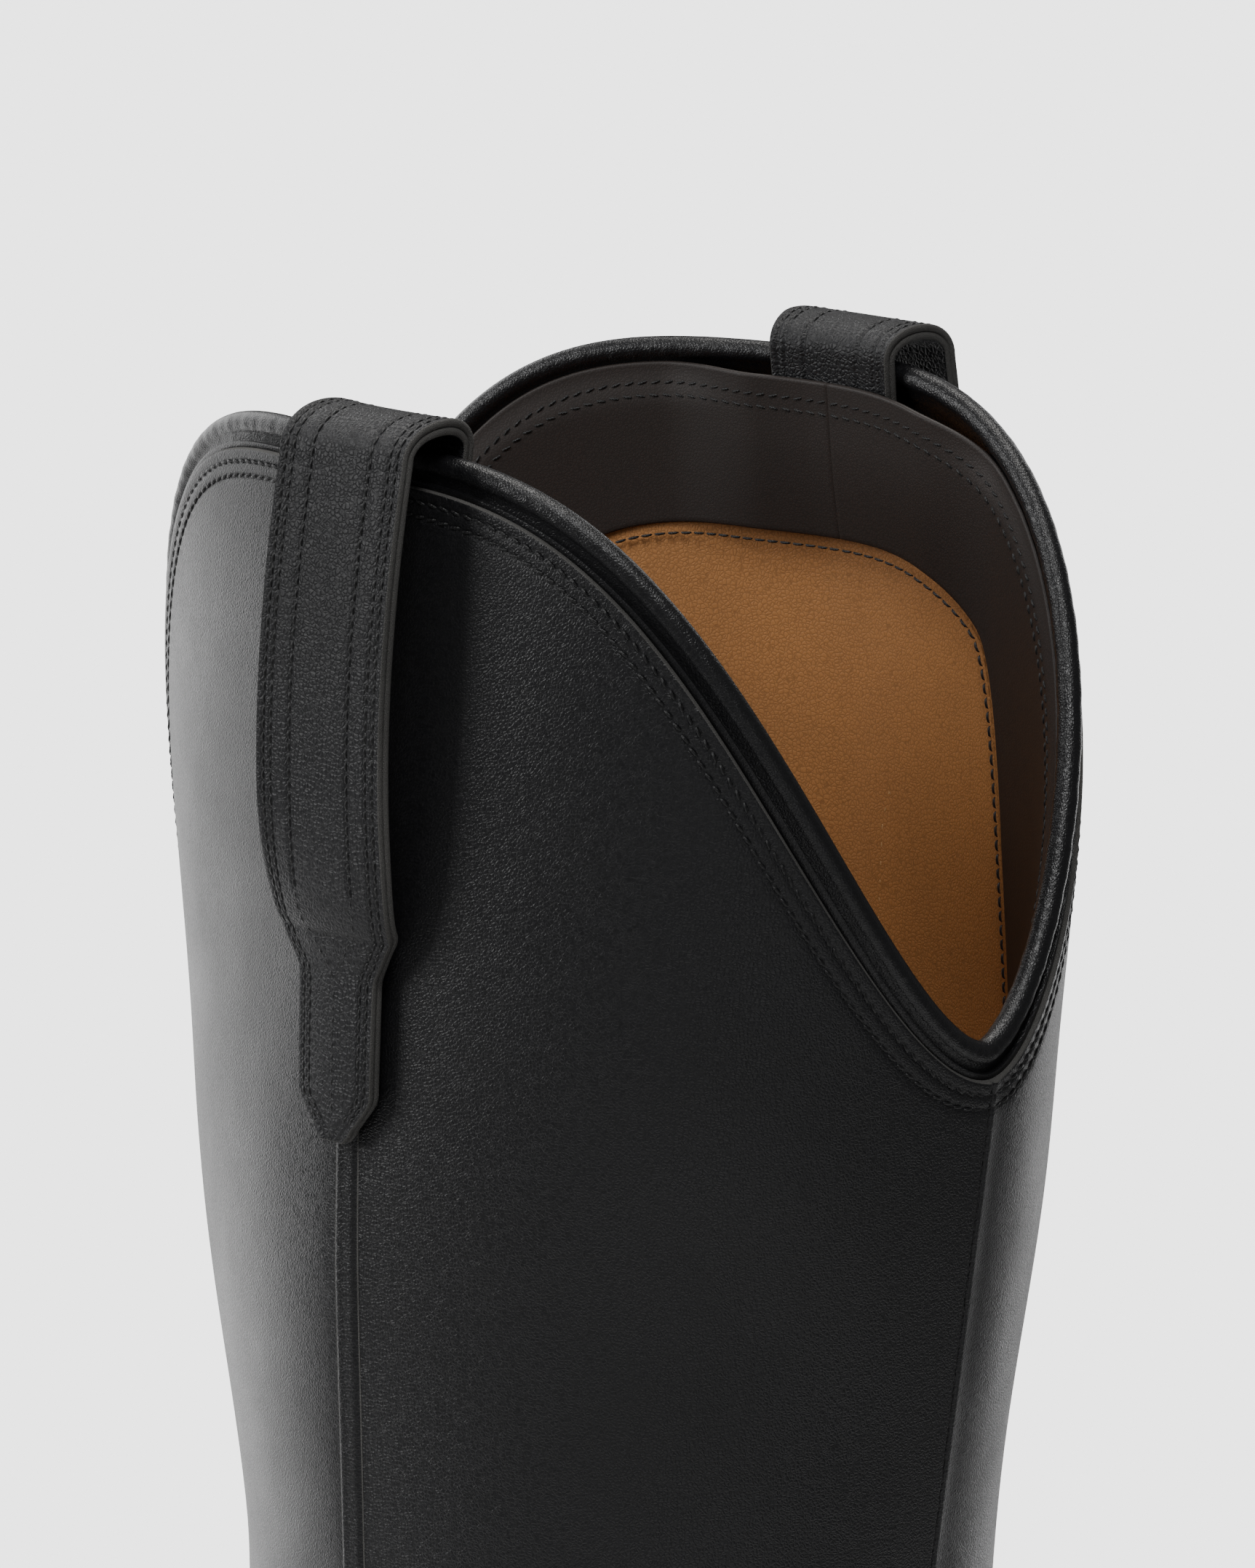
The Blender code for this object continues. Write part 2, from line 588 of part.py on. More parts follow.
def lasted(rows):
    """Grid carried on to the feather edge and under the insole, to the end of the lasting margin."""
    turns, drops = rows
    under = np.array([2.0, 2.5, 3.0])[:, None] + 0 * turns[:3]
    return np.concatenate([turns] + [turns[-1:]] * 3), np.concatenate([drops, under])


def turned(edge):
    """An edge on the right side, carried on past the back."""
    return lambda drop: edge(drop) + 2 * np.pi


def strap_half_turn():
    """Half the turn that a strap covers round the shaft."""
    return math.asin((STRAP_WIDTH / 2 / TOP_FRONT) ** (ROUNDNESS / 2))


def strap_bump(turns, depth):
    """1 where the strap's inner end lies behind the facing, falling to 0 around and below it."""
    reach = np.abs(np.abs(fold(turns)) - SHAFT_SEAM)
    beside = 1 - ease((reach - strap_half_turn() - STRAP_MARGIN) / STRAP_FADE)
    return beside * (1 - ease((depth - STRAP_END - 2 * MM) / (FACING_DEPTH - STRAP_END)))


def inner_depth(turns, drops):
    """Depth of the lining's outer face, which gives way round the straps' inner ends."""
    depth = drops * (CREST_HEIGHT - top_depth(turns) - ANKLE_HEIGHT)
    room = STRAP_DEPTH + STRAP / 2 + GAP - INNER
    return INNER + room * strap_bump(turns, depth)


def facings(black):
    """Facings behind the top edge, front and back, which meet at the sides."""
    top = lambda turns: drop_below_top(turns, FACING_TOP)
    seam = turn_step(SHAFT_SEAM, 0.05, GAP / 2 + SEAM_ROOM)
    for name, start, end in (("front", -SHAFT_SEAM, SHAFT_SEAM), ("back", SHAFT_SEAM, 2 * np.pi - SHAFT_SEAM)):
        turns, drops = grid(level(start + seam), level(end - seam), 27, top, facing_low, 5)
        depth = inner_depth(turns, drops)
        patch("facing_" + name, turns, drops, (depth, depth + LINING), black)


def top_piping(black):
    """Rolled bead on the top edge, with a flange that hangs between shaft and facing."""
    turns = np.linspace(0, 2 * np.pi, 65)[:-1]
    edge, normal = skin(turns, 0 * turns), outward(turns, 0 * turns + 0.02)
    down = skin(turns, 0 * turns + 0.05) - edge
    down = down / np.linalg.norm(down, axis=-1, keepdims=True)
    reach = np.abs(np.abs(fold(turns)) - SHAFT_SEAM)
    beside = ease((reach - strap_half_turn()) / STRAP_FADE)
    flange = (BEAD_RADIUS + FLANGE / 2 + FLANGE_DEPTH * beside)[:, None]
    first, last = BEAD_DEPTH - FLANGE / 2, BEAD_DEPTH + FLANGE / 2
    centre = edge - normal * BEAD_DEPTH
    half = math.asin(FLANGE / 2 / BEAD_RADIUS)
    angles = np.linspace(half, 2 * np.pi - half, 7)
    loops = [edge - normal * first + down * flange]
    for angle in angles:
        loops.append(centre + BEAD_RADIUS * (down * math.cos(angle) + normal * math.sin(angle)))
    loops.append(edge - normal * last + down * flange)
    tube("top_piping", np.stack(loops, 1), black)


def tube(name, loops, surface):
    """Closed ring of cross-sections, each a loop of points."""
    count, sides = loops.shape[:2]
    faces = []
    for ring in range(count):
        for side in range(sides):
            near, far = ring * sides, (ring + 1) % count * sides
            faces.append([near + side, far + side, far + (side + 1) % sides, near + (side + 1) % sides])
    return solid(name, loops.reshape(-1, 3), faces, surface)


def strap_path():
    """Side view of the strap's loop: places from the outer step, over the bead, to the inner end.

    Each is a distance out from the shaft's surface, a height above the crest and how flat it spans.
    """
    sweep = np.radians(np.linspace(0, 180, 9))
    inner = -STRAP_DEPTH
    radius = (STRAP_STANDOFF - inner) / 2
    top = BEAD_RADIUS + STRAP_RISE + STRAP / 2
    steps = np.linspace(0, 1, 10)[:-1]
    rise = -STRAP_STEP + (STRAP_STEP + top - radius * 0.7) * steps
    bow = np.sin(np.pi * steps ** BOW_SKEW / BOW_REACH) ** 0.8
    out = SIDE_WELT_RISE + STRAP_CLEAR + STRAP / 2 + STRAP_STANDOFF * bow
    last = out[-1]
    arc_out = (last + inner) / 2 + (last - inner) / 2 * np.cos(sweep)
    arc_high = top - radius * 0.7 + radius * 0.7 * np.sin(sweep)
    down = np.linspace(top - radius * 0.7, -STRAP_END, 5)[1:]
    flat = np.concatenate([ease(steps / 0.3), ease((sweep[::-1] - 1.2) / 1.0), 0 * down])
    return (np.concatenate([out, arc_out, 0 * down + inner]),
            np.concatenate([rise, arc_high, down]), flat)


def strap_point(side, across, out, high, flat):
    """Point of a strap: across its width, out from the shaft and above the crest.

    flat is 0 where the strap follows the shaft's round and 1 where it spans flat across its width.
    """
    along = (SEAM_SET_BACK - across) / TOP_FRONT
    turn = side * (np.pi / 2 + np.sign(along) * np.arcsin(np.abs(along) ** (ROUNDNESS / 2)))
    z = CREST_HEIGHT + high
    base = column_point(turn, z)
    step = 0.02
    slope = column_point(turn + step, z) - column_point(turn - step, z)
    normal = np.stack([slope[..., 1], -slope[..., 0], 0 * slope[..., 0]], -1)
    normal = normal / np.linalg.norm(normal, axis=-1, keepdims=True)
    bent = base + normal * out[..., None]
    middle = column_point(side * SHAFT_SEAM + 0 * turn, z)
    straight = middle + np.stack([across, side * out, 0 * out], -1)
    return bent + (straight - bent) * flat[..., None]


def pull_straps(black):
    """Loop over the top edge and sewn tail of each pull strap."""
    out, high, flat = strap_path()
    slope = np.stack([np.gradient(out), np.gradient(high)], -1)
    slope = slope / np.linalg.norm(slope, axis=-1, keepdims=True)
    across = np.linspace(-1, 1, 6)[None, :] * STRAP_WIDTH / 2
    for side, name in ((1, "left"), (-1, "right")):
        faces = []
        for way in (0.5, -0.5):
            shifted_out = out + way * STRAP * slope[:, 1]
            shifted_high = high - way * STRAP * slope[:, 0]
            faces.append(strap_point(side, across + 0 * out[:, None], shifted_out[:, None] + 0 * across,
                                     shifted_high[:, None] + 0 * across, flat[:, None] + 0 * across))
        slab("pull_strap_" + name + "_loop", faces[0], faces[1], black)
        rows = np.array([STRAP_STEP + GAP, STRAP_STEP + STRAP_NARROWING, STRAP_TIP - STRAP_POINT, STRAP_TIP])
        widths = np.array([STRAP_WIDTH, STRAP_TAIL_WIDTH, STRAP_TAIL_WIDTH, STRAP_TAIL_WIDTH * STRAP_BLUNT])
        spread = np.linspace(-0.5, 0.5, 6)[None, :] * widths[:, None]
        deep = -rows[:, None] + 0 * spread
        tail = [strap_point(side, spread, SIDE_WELT_RISE + GAP + way * STRAP + 0 * spread, deep, 0 * spread)
                for way in (1, 0)]
        slab("pull_strap_" + name + "_tail", tail[0], tail[1], black)


def outline(turns, distance):
    """Plan points of the feather edge moved inwards by a distance."""
    edge = skin(turns, 0 * turns + 2.0)
    return inset(edge, np.asarray(distance)[..., None] + 0 * turns[..., None])


def turn_at(x):
    """Turn at which the feather edge passes a place along the foot."""
    middle, half = (HEEL_BACK + TOE_TIP) / 2, (TOE_TIP - HEEL_BACK) / 2
    return math.acos(max(-1.0, min(1.0, (x - middle) / half)))


def extension(x):
    """How far the sole's edge stands out beyond the upper."""
    return HEEL_EXTENSION + (WELT_EXTENSION - HEEL_EXTENSION) * ease((x - HEEL_BREAST) / (50 * MM))


def stations():
    """Turns of the sole's crossbars, on the columns of the vamp and the heel counter cover."""
    front = float(seam_edge(1, False)(2.0))
    back = float(seam_edge(1, True)(2.0))
    return np.concatenate([np.linspace(0, front, FRONT_COLUMNS // 2 + 1),
                           np.linspace(back, np.pi, BACK_COLUMNS // 2 + 1)])


def plate(name, turns, distance, low, high, surface):
    """Flat piece that follows the sole: a ladder of crossbars between the outline's two sides."""
    layers = []
    for offset in (low, high):
        sides = []
        for side in (1, -1):
            plan = outline(side * turns, distance(turns))
            sides.append(np.concatenate([plan, (sole_height(plan[:, 0]) + offset)[:, None]], -1))
        layers.append(sides)
    return ladder(name, layers, surface)


def ladder(name, layers, surface):
    """Closed solid from two layers, each a left and a right run of points; ends may come to a point."""
    points = np.concatenate([side for layer in layers for side in layer])
    count = len(layers[0][0])

    def spot(layer, side, place):
        return (layer * 2 + side) * count + place

    faces = []
    for place in range(count - 1):
        for layer in (0, 1):
            faces.append([spot(layer, 0, place), spot(layer, 0, place + 1),
                          spot(layer, 1, place + 1), spot(layer, 1, place)])
        for side in (0, 1):
            faces.append([spot(0, side, place), spot(0, side, place + 1),
                          spot(1, side, place + 1), spot(1, side, place)])
    for place in (0, count - 1):
        faces.append([spot(0, 0, place), spot(1, 0, place), spot(1, 1, place), spot(0, 1, place)])
    made = solid(name, points, faces, surface)
    shape = bmesh.new()
    shape.from_mesh(made.data)
    bmesh.ops.remove_doubles(shape, verts=shape.verts, dist=1e-6)
    bmesh.ops.dissolve_degenerate(shape, edges=shape.edges, dist=1e-6)
    bmesh.ops.recalc_face_normals(shape, faces=shape.faces)
    shape.to_mesh(made.data)
    shape.free()
    return made


def strip(name, turns, low, high, surface):
    """Flat strip that follows the feather edge, from the sole's edge to the seat ring."""
    edge = skin(turns, 0 * turns + 2.0)
    layers = []
    for offset in (low, high):
        sides = []
        for distance in (-extension(edge[:, 0]), 0 * turns + SEAT_RING):
            plan = outline(turns, distance)
            sides.append(np.concatenate([plan, (sole_height(plan[:, 0]) + offset)[:, None]], -1))
        layers.append(sides)
    return ladder(name, layers, surface)


def sole_pieces(leather, cork, steel, tan):
    """Insole, sock, filler, shank, welt, rand and outsole."""
    edge = lambda turns: -extension(skin(turns, 0 * turns + 2.0)[:, 0])
    flat = lambda inside: (lambda turns: inside + 0 * turns)
    bars = stations()
    insole_low = FEATHER + LEATHER + CEMENT
    plate("outsole", bars, edge, 0, OUTSOLE, leather)
    plate("insole", bars, flat(MIDDLE + GAP), insole_low, INSOLE_TOP, leather)
    sock_low = INSOLE_TOP + CEMENT
    plate("sock_liner", bars, flat(INNER + LINING + SOCK_ROOM), sock_low, sock_low + SOCK, tan)
    plate("cork_filler", bars[bars < turn_at(CORK_START)], flat(SEAT_RING + GAP), OUTSOLE + CEMENT,
          FEATHER + LEATHER, cork)
    low, high = OUTSOLE + CEMENT, OUTSOLE + CEMENT + WELT
    joint = int(np.argmin(np.abs(bars - turn_at(HEEL_BREAST))))
    clear = np.zeros(len(bars))
    clear[joint] = GAP / (TOE_TIP - HEEL_BACK)
    front = (bars - clear)[:joint + 1]
    back = (bars + clear)[joint:]
    strip("welt", np.concatenate([-front[:0:-1], front]), low, high, leather)
    strip("heel_rand", np.concatenate([back, 2 * np.pi - back[-2::-1]]), low, high, leather)
    steps = outline(bars, 0 * bars)[:, 0]
    steps = steps[(steps > CORK_START - SHANK_LENGTH) & (bars > turn_at(CORK_START))][::-1]
    bottom = OUTSOLE + CEMENT + (FEATHER + LEATHER - OUTSOLE - CEMENT - SHANK) / 2
    layers = [[np.stack([steps, 0 * steps + way * SHANK_WIDTH / 2, sole_height(steps) + bottom + rise], -1)
               for way in (1, -1)] for rise in (0, SHANK)]
    ladder("shank", layers, steel)


def heel_shape(plan, z):
    """Heel outline drawn in towards the floor, with a slightly hollow back."""
    share = 1 - z / HEEL_HEIGHT
    scale = 1 - HEEL_TAPER * share ** 0.8
    return np.stack([plan[:, 0] * scale, plan[:, 1] * scale, 0 * plan[:, 0] + z], -1)


def heel_pieces(leather, rubber, brass):
    """Stacked lifts, the rubber top lift and the nails through it."""
    turns = np.linspace(turn_at(HEEL_BREAST), np.pi, 15)
    sides = [outline(way * turns, -extension(0 * turns)) for way in (1, -1)]
    pitch = (HEEL_HEIGHT - TOP_LIFT - GAP) / LIFT_COUNT
    levels = [(0.0, TOP_LIFT, "top_lift", rubber)]
    for number in range(LIFT_COUNT):
        low = TOP_LIFT + GAP + number * pitch
        levels.append((low, low + pitch - GAP, "heel_lift_%d" % (number + 1), leather))
    lifts = []
    for low, high, name, surface in levels:
        lifts.append(ladder(name, [[heel_shape(side, z) for side in sides] for z in (low, high)], surface))
    first = turn_at(HEEL_BREAST - NAIL_START)
    turns = np.linspace(first, 2 * np.pi - first, NAIL_COUNT)
    places = heel_shape(outline(turns, NAIL_INSET + 0 * turns), 0.0)
    for number, place in enumerate(places, 1):
        pin("heel_nail_%d" % number, place, NAIL_RADIUS, NAIL_RECESS, NAIL_LENGTH, brass)
        cutter = pin("nail_hole_%d" % number, place, NAIL_RADIUS + GAP, -1 * MM, NAIL_LENGTH + GAP, brass)
        cutter.hide_render = True
        cutter.display_type = "WIRE"
        for lift in lifts[:2]:
            cut = lift.modifiers.new(cutter.name, "BOOLEAN")
            cut.object = cutter
            cut.solver = "EXACT"


def pin(name, place, radius, low, high, surface):
    """Upright six-sided pin."""
    shape = bmesh.new()
    bmesh.ops.create_cone(shape, cap_ends=True, segments=6, radius1=radius, radius2=radius, depth=high - low)
    mesh = bpy.data.meshes.new(name)
    shape.to_mesh(mesh)
    shape.free()
    made = bpy.data.objects.new(name, mesh)
    made.location = (place[0], place[1], (low + high) / 2)
    made.data.materials.append(surface)
    bpy.context.collection.objects.link(made)
    return made


def main():
    for item in list(bpy.data.objects):
        bpy.data.objects.remove(item, do_unlink=True)
    black = material("black pebble-grain leather", (0.012, 0.012, 0.013), 0.45)
    smooth_black = material("black facing leather", (0.014, 0.012, 0.011), 0.5)
    tan = material("tan lining leather", (0.28, 0.12, 0.045), 0.55)
    sole_leather = material("dyed sole leather", (0.02, 0.016, 0.013), 0.4)
    fibre = material("stiffener board", (0.45, 0.36, 0.25), 0.8)
    cork = material("cork", (0.42, 0.27, 0.15), 0.9)
    steel = material("spring steel", (0.5, 0.5, 0.52), 0.35, 1.0)
    rubber = material("rubber", (0.015, 0.015, 0.015), 0.7)
    brass = material("brass nails", (0.6, 0.42, 0.16), 0.35, 1.0)
    shaft_panels(black, tan)
    side_welts(black)
    foot_leathers(black, tan, fibre)
    facings(smooth_black)
    top_piping(black)
    pull_straps(black)
    sole_pieces(sole_leather, cork, steel, tan)
    heel_pieces(sole_leather, rubber, brass)


main()
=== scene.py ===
"""Tall western boot: fine leathers, piping, pull straps, stitching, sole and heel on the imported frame.

The frame has +X towards the toe, +Y to the boot's left and +Z up, in metres, with its origin on the floor under the
heel. The upper is one surface, skin(turn, drop): turn goes round the leg from 0 at the front, and drop runs from 0
at the scalloped top edge over 1 at the ankle to 2 at the feather edge, where the upper meets the sole.
"""
import math

import bmesh
import bpy
import numpy as np
from bpy.props import FloatProperty, FloatVectorProperty, PointerProperty
from mathutils import Matrix


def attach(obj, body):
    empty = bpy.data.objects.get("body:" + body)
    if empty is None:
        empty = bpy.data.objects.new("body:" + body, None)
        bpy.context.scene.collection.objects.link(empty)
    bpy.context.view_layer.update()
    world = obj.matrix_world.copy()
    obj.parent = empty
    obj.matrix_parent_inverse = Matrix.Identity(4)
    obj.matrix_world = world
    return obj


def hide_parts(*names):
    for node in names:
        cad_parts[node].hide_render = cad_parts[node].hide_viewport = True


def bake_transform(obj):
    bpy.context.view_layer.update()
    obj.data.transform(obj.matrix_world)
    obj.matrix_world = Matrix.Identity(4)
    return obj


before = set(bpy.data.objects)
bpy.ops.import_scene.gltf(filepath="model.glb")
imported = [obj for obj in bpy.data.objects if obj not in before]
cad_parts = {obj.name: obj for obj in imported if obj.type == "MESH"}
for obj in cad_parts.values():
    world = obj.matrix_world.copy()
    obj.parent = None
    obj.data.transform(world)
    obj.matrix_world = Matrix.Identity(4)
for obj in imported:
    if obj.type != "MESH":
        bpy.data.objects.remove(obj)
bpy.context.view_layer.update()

bl_info = {
    "name": "Western boot",
    "version": (1, 0, 0),
    "blender": (4, 5, 0),
    "location": "3D View > Sidebar > Boot",
    "description": "Builds a tall leather western boot piece by piece",
    "category": "Add Mesh",
}

MM = 0.001
GAP = 0.3 * MM

# Shaft
CREST_HEIGHT = 385 * MM
SHAFT_AXIS = 12 * MM
TOP_FRONT = 83.2 * MM
TOP_BACK = 82.6 * MM
FRONT_TAPER = 0.139
BACK_TAPER = 0.135
CALF_HALF_WIDTH = 55.5 * MM
CALF_DEPTH = 97 * MM
CALF_TO_TOP = 6 * MM
SEAM_SET_BACK = 4.6 * MM
SEAM_LEAN = 6 * MM
CALF_FULLNESS = 0.20
ROUNDNESS = 1.67
ROUND_BELOW = 160 * MM
FRONT_DIP = 88 * MM
BACK_DIP = 81 * MM
FRONT_DIP_SHARPNESS = 5.0
BACK_DIP_SHARPNESS = 3.5
TAPER_END = 200 * MM

# Ankle, heel and foot
ANKLE_HEIGHT = 150 * MM
ANKLE_BACK = -40.5 * MM
ANKLE_FRONT = 64.5 * MM
ANKLE_HALF_WIDTH = 41.5 * MM
HEEL_BULGE = -46 * MM
HEEL_BULGE_HEIGHT = 74 * MM
HEEL_BACK = -43 * MM
TOE_TIP = 250 * MM
HEEL_HALF_WIDTH = 31 * MM
WAIST_HALF_WIDTH = 27.5 * MM
BALL_HALF_WIDTH = 45.5 * MM
WAIST_X = 52 * MM
BALL_X = 150 * MM
HEEL_ROUND = 33 * MM
TOE_TAPER = 108 * MM
TOE_POINT = 1.58
TOE_SWING = 7 * MM
DOME = 2.25
INSTEP_MID_HEIGHT = 96 * MM
INSTEP_MID_X = 108 * MM
VAMP_HEIGHT = 74 * MM
TOE_BOX_HEIGHT = 44 * MM
TOE_BOX_X = 229 * MM
DOME_RISE = 6 * MM
DOME_RUN = 10 * MM
TOE_WALL = 8 * MM
DOME_SWELL = 0.045
DOME_BLEND = 34 * MM
ANKLE_SOFTNESS = 6 * MM
VAMP_FRONT = 0.96
VAMP_SIDE = 1.60
VAMP_BEND = 1.6
TONGUE_ROUND = 0.06
COUNTER_BACK = 1.30
COUNTER_SIDE = 1.63

# Sole and heel
HEEL_HEIGHT = 38 * MM
HEEL_BREAST = 32 * MM
SEAT_RUN = 8 * MM
WAIST_END = 120 * MM
TREAD_END = 172 * MM
TOE_SPRING = 7 * MM
OUTSOLE = 5 * MM
WELT = 3 * MM
WELT_EXTENSION = 4.5 * MM
HEEL_EXTENSION = 2.0 * MM
INSOLE = 3 * MM
SOCK = 1.2 * MM
MARGIN = 8 * MM
SEAT_RING = 9 * MM
TOP_LIFT = 6.5 * MM
LIFT_COUNT = 5
HEEL_TAPER = 0.15
NAIL_RADIUS = 1.1 * MM
NAIL_INSET = 8 * MM
NAIL_START = 12 * MM
NAIL_COUNT = 5
CEMENT = 0.5 * MM

# Leathers, outermost first: each layer's depth under the upper's surface
LEATHER = 1.4 * MM
LINING_TOP = 3.0 * MM
LINING = 0.9 * MM
FACING_OUTER = 4.0 * MM
FACING = 0.8 * MM
OVERLAY = 1.2 * MM                   # vamp and counter lie on the shaft and stand this proud
OVERLAY_LAP = 7 * MM                 # shaft leather that runs on under them
SIDE_WELT_WIDTH = 3.8 * MM
SIDE_WELT_RISE = 0.8 * MM
PANEL_ROOM = 1.2 * MM                # side seam to the shaft panels beside it
QUARTER_ROOM = 0.12 * MM             # back seam to the quarters beside it
BEAD_DEPTH = 2.4 * MM                # bead's centre under the upper's surface
CUT_EDGE = 3.5 * MM                  # shaft leather's cut edge below the bead's centre
FLANGE_OUT = 1.75 * MM               # bead flange's outer face, out from the bead's centre
FLANGE_IN = 0.35 * MM                # its inner face, inwards
FLANGE_NECK = 0.95 * MM              # half thickness where it meets the bead
FLANGE_END = 4.6 * MM                # its lower end below the bead's centre
FURROW = 0.2 * MM                    # depth of the furrow that a row of stitches pulls in
FURROW_WIDTH = 0.4 * MM
FACING_TOP = 1.9 * MM
FACING_EDGE = 24.5 * MM              # facing's lower edge below the bead's centre
FACING_PANEL = 118 * MM              # bottom of the deep facing behind the back dip, below the crest
PANEL_REACH = 0.86                   # half turn that the deep facing covers
PANEL_SIDE = 0.42                    # turn over which its side edge runs down
FACING_JOINT = 0.2 * MM              # half the gap between its two pieces
FACING_TUCK = 0.9 * MM               # how much nearer the shaft its top edge lies
FACING_BULGE = 2.9 * MM              # how far it stands in over a strap's inner end
FACING_ROWS = ((2.6 * MM, 0.25), (4.4 * MM, -0.25))  # its top stitch rows: distance down and slant
FACING_HEM_ROW = 1.8 * MM            # its lower stitch row, up from its lower edge
LINING_START = 7 * MM                # lining's top below the top edge

# Pull straps
STRAP_WIDTH = 22 * MM
STRAP_TAIL_WIDTH = 15 * MM
STRAP = 2.2 * MM
STRAP_STEP = 64 * MM
STRAP_TIP = 93 * MM
STRAP_POINT = 6 * MM
STRAP_BLUNT = 0.3
STRAP_NARROWING = 6 * MM
STRAP_STANDOFF = 5 * MM
STRAP_CLEAR = 1 * MM
STRAP_RISE = 2.3 * MM
STRAP_END = 12 * MM
STRAP_MARGIN = 0.06
STRAP_FADE = 0.22
BOW_REACH = 1.35
BOW_SKEW = 0.8
BEND_HEIGHT = 0.7                    # height of the bend over the bead, as a share of its radius
STRAP_ROWS = (1.1 * MM, 2.4 * MM)    # stitch rows along each edge, inwards from it
STRAP_INNER_ROW = 5.2 * MM           # inner stitch rows, out from the strap's middle
STRAP_FURROW = 0.24 * MM
STRAP_PITCH = 1.75 * MM

# Soft leg: lengths of its two crossed waves, and the creases at the ankle as heights and depths
LONG_WAVE = 23 * MM
SHORT_WAVE = 13 * MM
CREASES = ((132 * MM, 0.9 * MM), (144 * MM, 1.3 * MM), (157 * MM, 1.0 * MM), (171 * MM, 0.6 * MM))
CREASE_WIDTH = 3.2 * MM
CREASE_REACH = 0.85                  # turn over which they fade to either side

OVERLAY_RUN = 95 * MM                # length of vamp and counter over which their rows are spaced
TROUGH_PLACE = 0.17                  # welt's stitches, as a share of the way in from the sole's edge
FEATHER = OUTSOLE + WELT + 2 * CEMENT
INSOLE_TOP = FEATHER + LEATHER + CEMENT + INSOLE
SHORTEST = 1e-9
SIDES = ((1, "left"), (-1, "right"))

# Rim profiles: each pair is how far the edge bulges out, and its share of the way through the sheet.
ROUND_RIM = ((0.16 * MM, 0.10), (0.26 * MM, 0.32), (0.28 * MM, 0.5), (0.26 * MM, 0.68), (0.16 * MM, 0.90))
LAYERED_RIM = ((0.14 * MM, 0.06), (0.22 * MM, 0.22), (0.16 * MM, 0.42), (-0.12 * MM, 0.5), (0.16 * MM, 0.58),
               (0.22 * MM, 0.78), (0.14 * MM, 0.94))


def linear(code):
    """Linear colour from an sRGB hex value."""
    parts = np.array([int(code[i:i + 2], 16) / 255 for i in (1, 3, 5)])
    low, high = parts / 12.92, ((parts + 0.055) / 1.055) ** 2.4
    return tuple(float(part) for part in np.where(parts <= 0.04045, low, high))


def colour(title, text, code):
    """Colour that a user may change."""
    return FloatVectorProperty(name=title, description=text, default=linear(code), subtype="COLOR", size=3,
                               min=0, max=1)


def length(title, text, value):
    """Length that a user may change."""
    return FloatProperty(name=title, description=text, default=value, unit="LENGTH", subtype="DISTANCE", precision=5)


class BootSizes(bpy.types.PropertyGroup):
    """Sizes that a maker would change without a new last."""
    bead: length("Bead radius", "Radius of the rolled bead on the top edge", 1.7 * MM)
    pitch: length("Stitch pitch", "Distance from one stitch to the next", 2.0 * MM)
    stitch: length("Stitch length", "Length of thread that shows", 1.6 * MM)
    thread: length("Thread radius", "Radius of the upper's thread", 0.2 * MM)
    row: length("Stitch row distance", "First stitch row from a cut edge", 1.6 * MM)
    rows: length("Stitch row spacing", "Distance between two stitch rows", 1.9 * MM)
    grain: length("Grain size", "Width of one pebble of the grain", 0.5 * MM)
    swell: length("Leg swell", "Height of the soft leg's slow waves", 0.55 * MM)


class BootColours(bpy.types.PropertyGroup):
    """Colours of the boot's materials."""
    black: colour("Upper", "Dyed grained upper leather", "#131315")
    # Cut edge grey: partly the raw fibres' own colour, partly lightened as a painted highlight along the edges.
    edge: colour("Cut edge", "Raw edge of the upper leather", "#4b4a48")
    facing: colour("Facing", "Smooth leather inside the top", "#29221f")
    lining: colour("Lining", "Tan lining leather", "#b27d4b")
    thread: colour("Thread", "Bonded thread of the upper", "#060607")
    tan_thread: colour("Lining thread", "Thread that shows through the lining", "#d6ab74")
    sole: colour("Sole", "Dyed and burnished sole leather", "#231c19")
    rubber: colour("Top lift", "Rubber of the top lift", "#161616")
    brass: colour("Nails", "Brass of the heel nails", "#b08d4c")
    steel: colour("Shank", "Spring steel", "#9a9b9d")
    board: colour("Stiffeners", "Leather board", "#a98d6b")
    cork: colour("Filler", "Bonded cork", "#9b7550")
    floor: colour("Floor", "Paper on the studio floor", "#e8e8e8")


def sizes():
    """Sizes set in the panel."""
    return bpy.context.scene.boot_sizes


def colours():
    """Colours set in the panel."""
    return bpy.context.scene.boot_colours


def unit(vectors):
    """Vectors divided by their lengths."""
    return vectors / np.maximum(np.linalg.norm(vectors, axis=-1, keepdims=True), SHORTEST)


def round_turns(count):
    """Even turns once round from the front, without the last, which would repeat the first."""
    return np.linspace(0, 2 * np.pi, count + 1)[:-1]


def ease(value):
    """Smooth step from 0 to 1: three times the square of the value less twice its cube."""
    value = np.clip(value, 0.0, 1.0)
    return value * value * (3 - 2 * value)


def curve(where, knots, values):
    """Smooth curve through a few points: cubic pieces whose slopes never overshoot."""
    knots, values = np.asarray(knots, float), np.asarray(values, float)
    step = np.diff(knots)
    rise = np.diff(values) / step
    slope = np.empty_like(values)
    slope[0], slope[-1] = rise[0], rise[-1]
    before, after = rise[:-1], rise[1:]
    same = before * after > 0
    safe = np.where(same, before + after, 1.0)
    slope[1:-1] = np.where(same, 2 * before * after / safe, 0.0)
    where = np.clip(where, knots[0], knots[-1])
    cell = np.clip(np.searchsorted(knots, where) - 1, 0, len(step) - 1)
    part = (where - knots[cell]) / step[cell]
    low, high = values[cell], values[cell + 1]
    left, right = slope[cell] * step[cell], slope[cell + 1] * step[cell]
    return (low * (1 + 2 * part) * (1 - part) ** 2 + left * part * (1 - part) ** 2
            + high * part ** 2 * (3 - 2 * part) - right * part ** 2 * (1 - part))


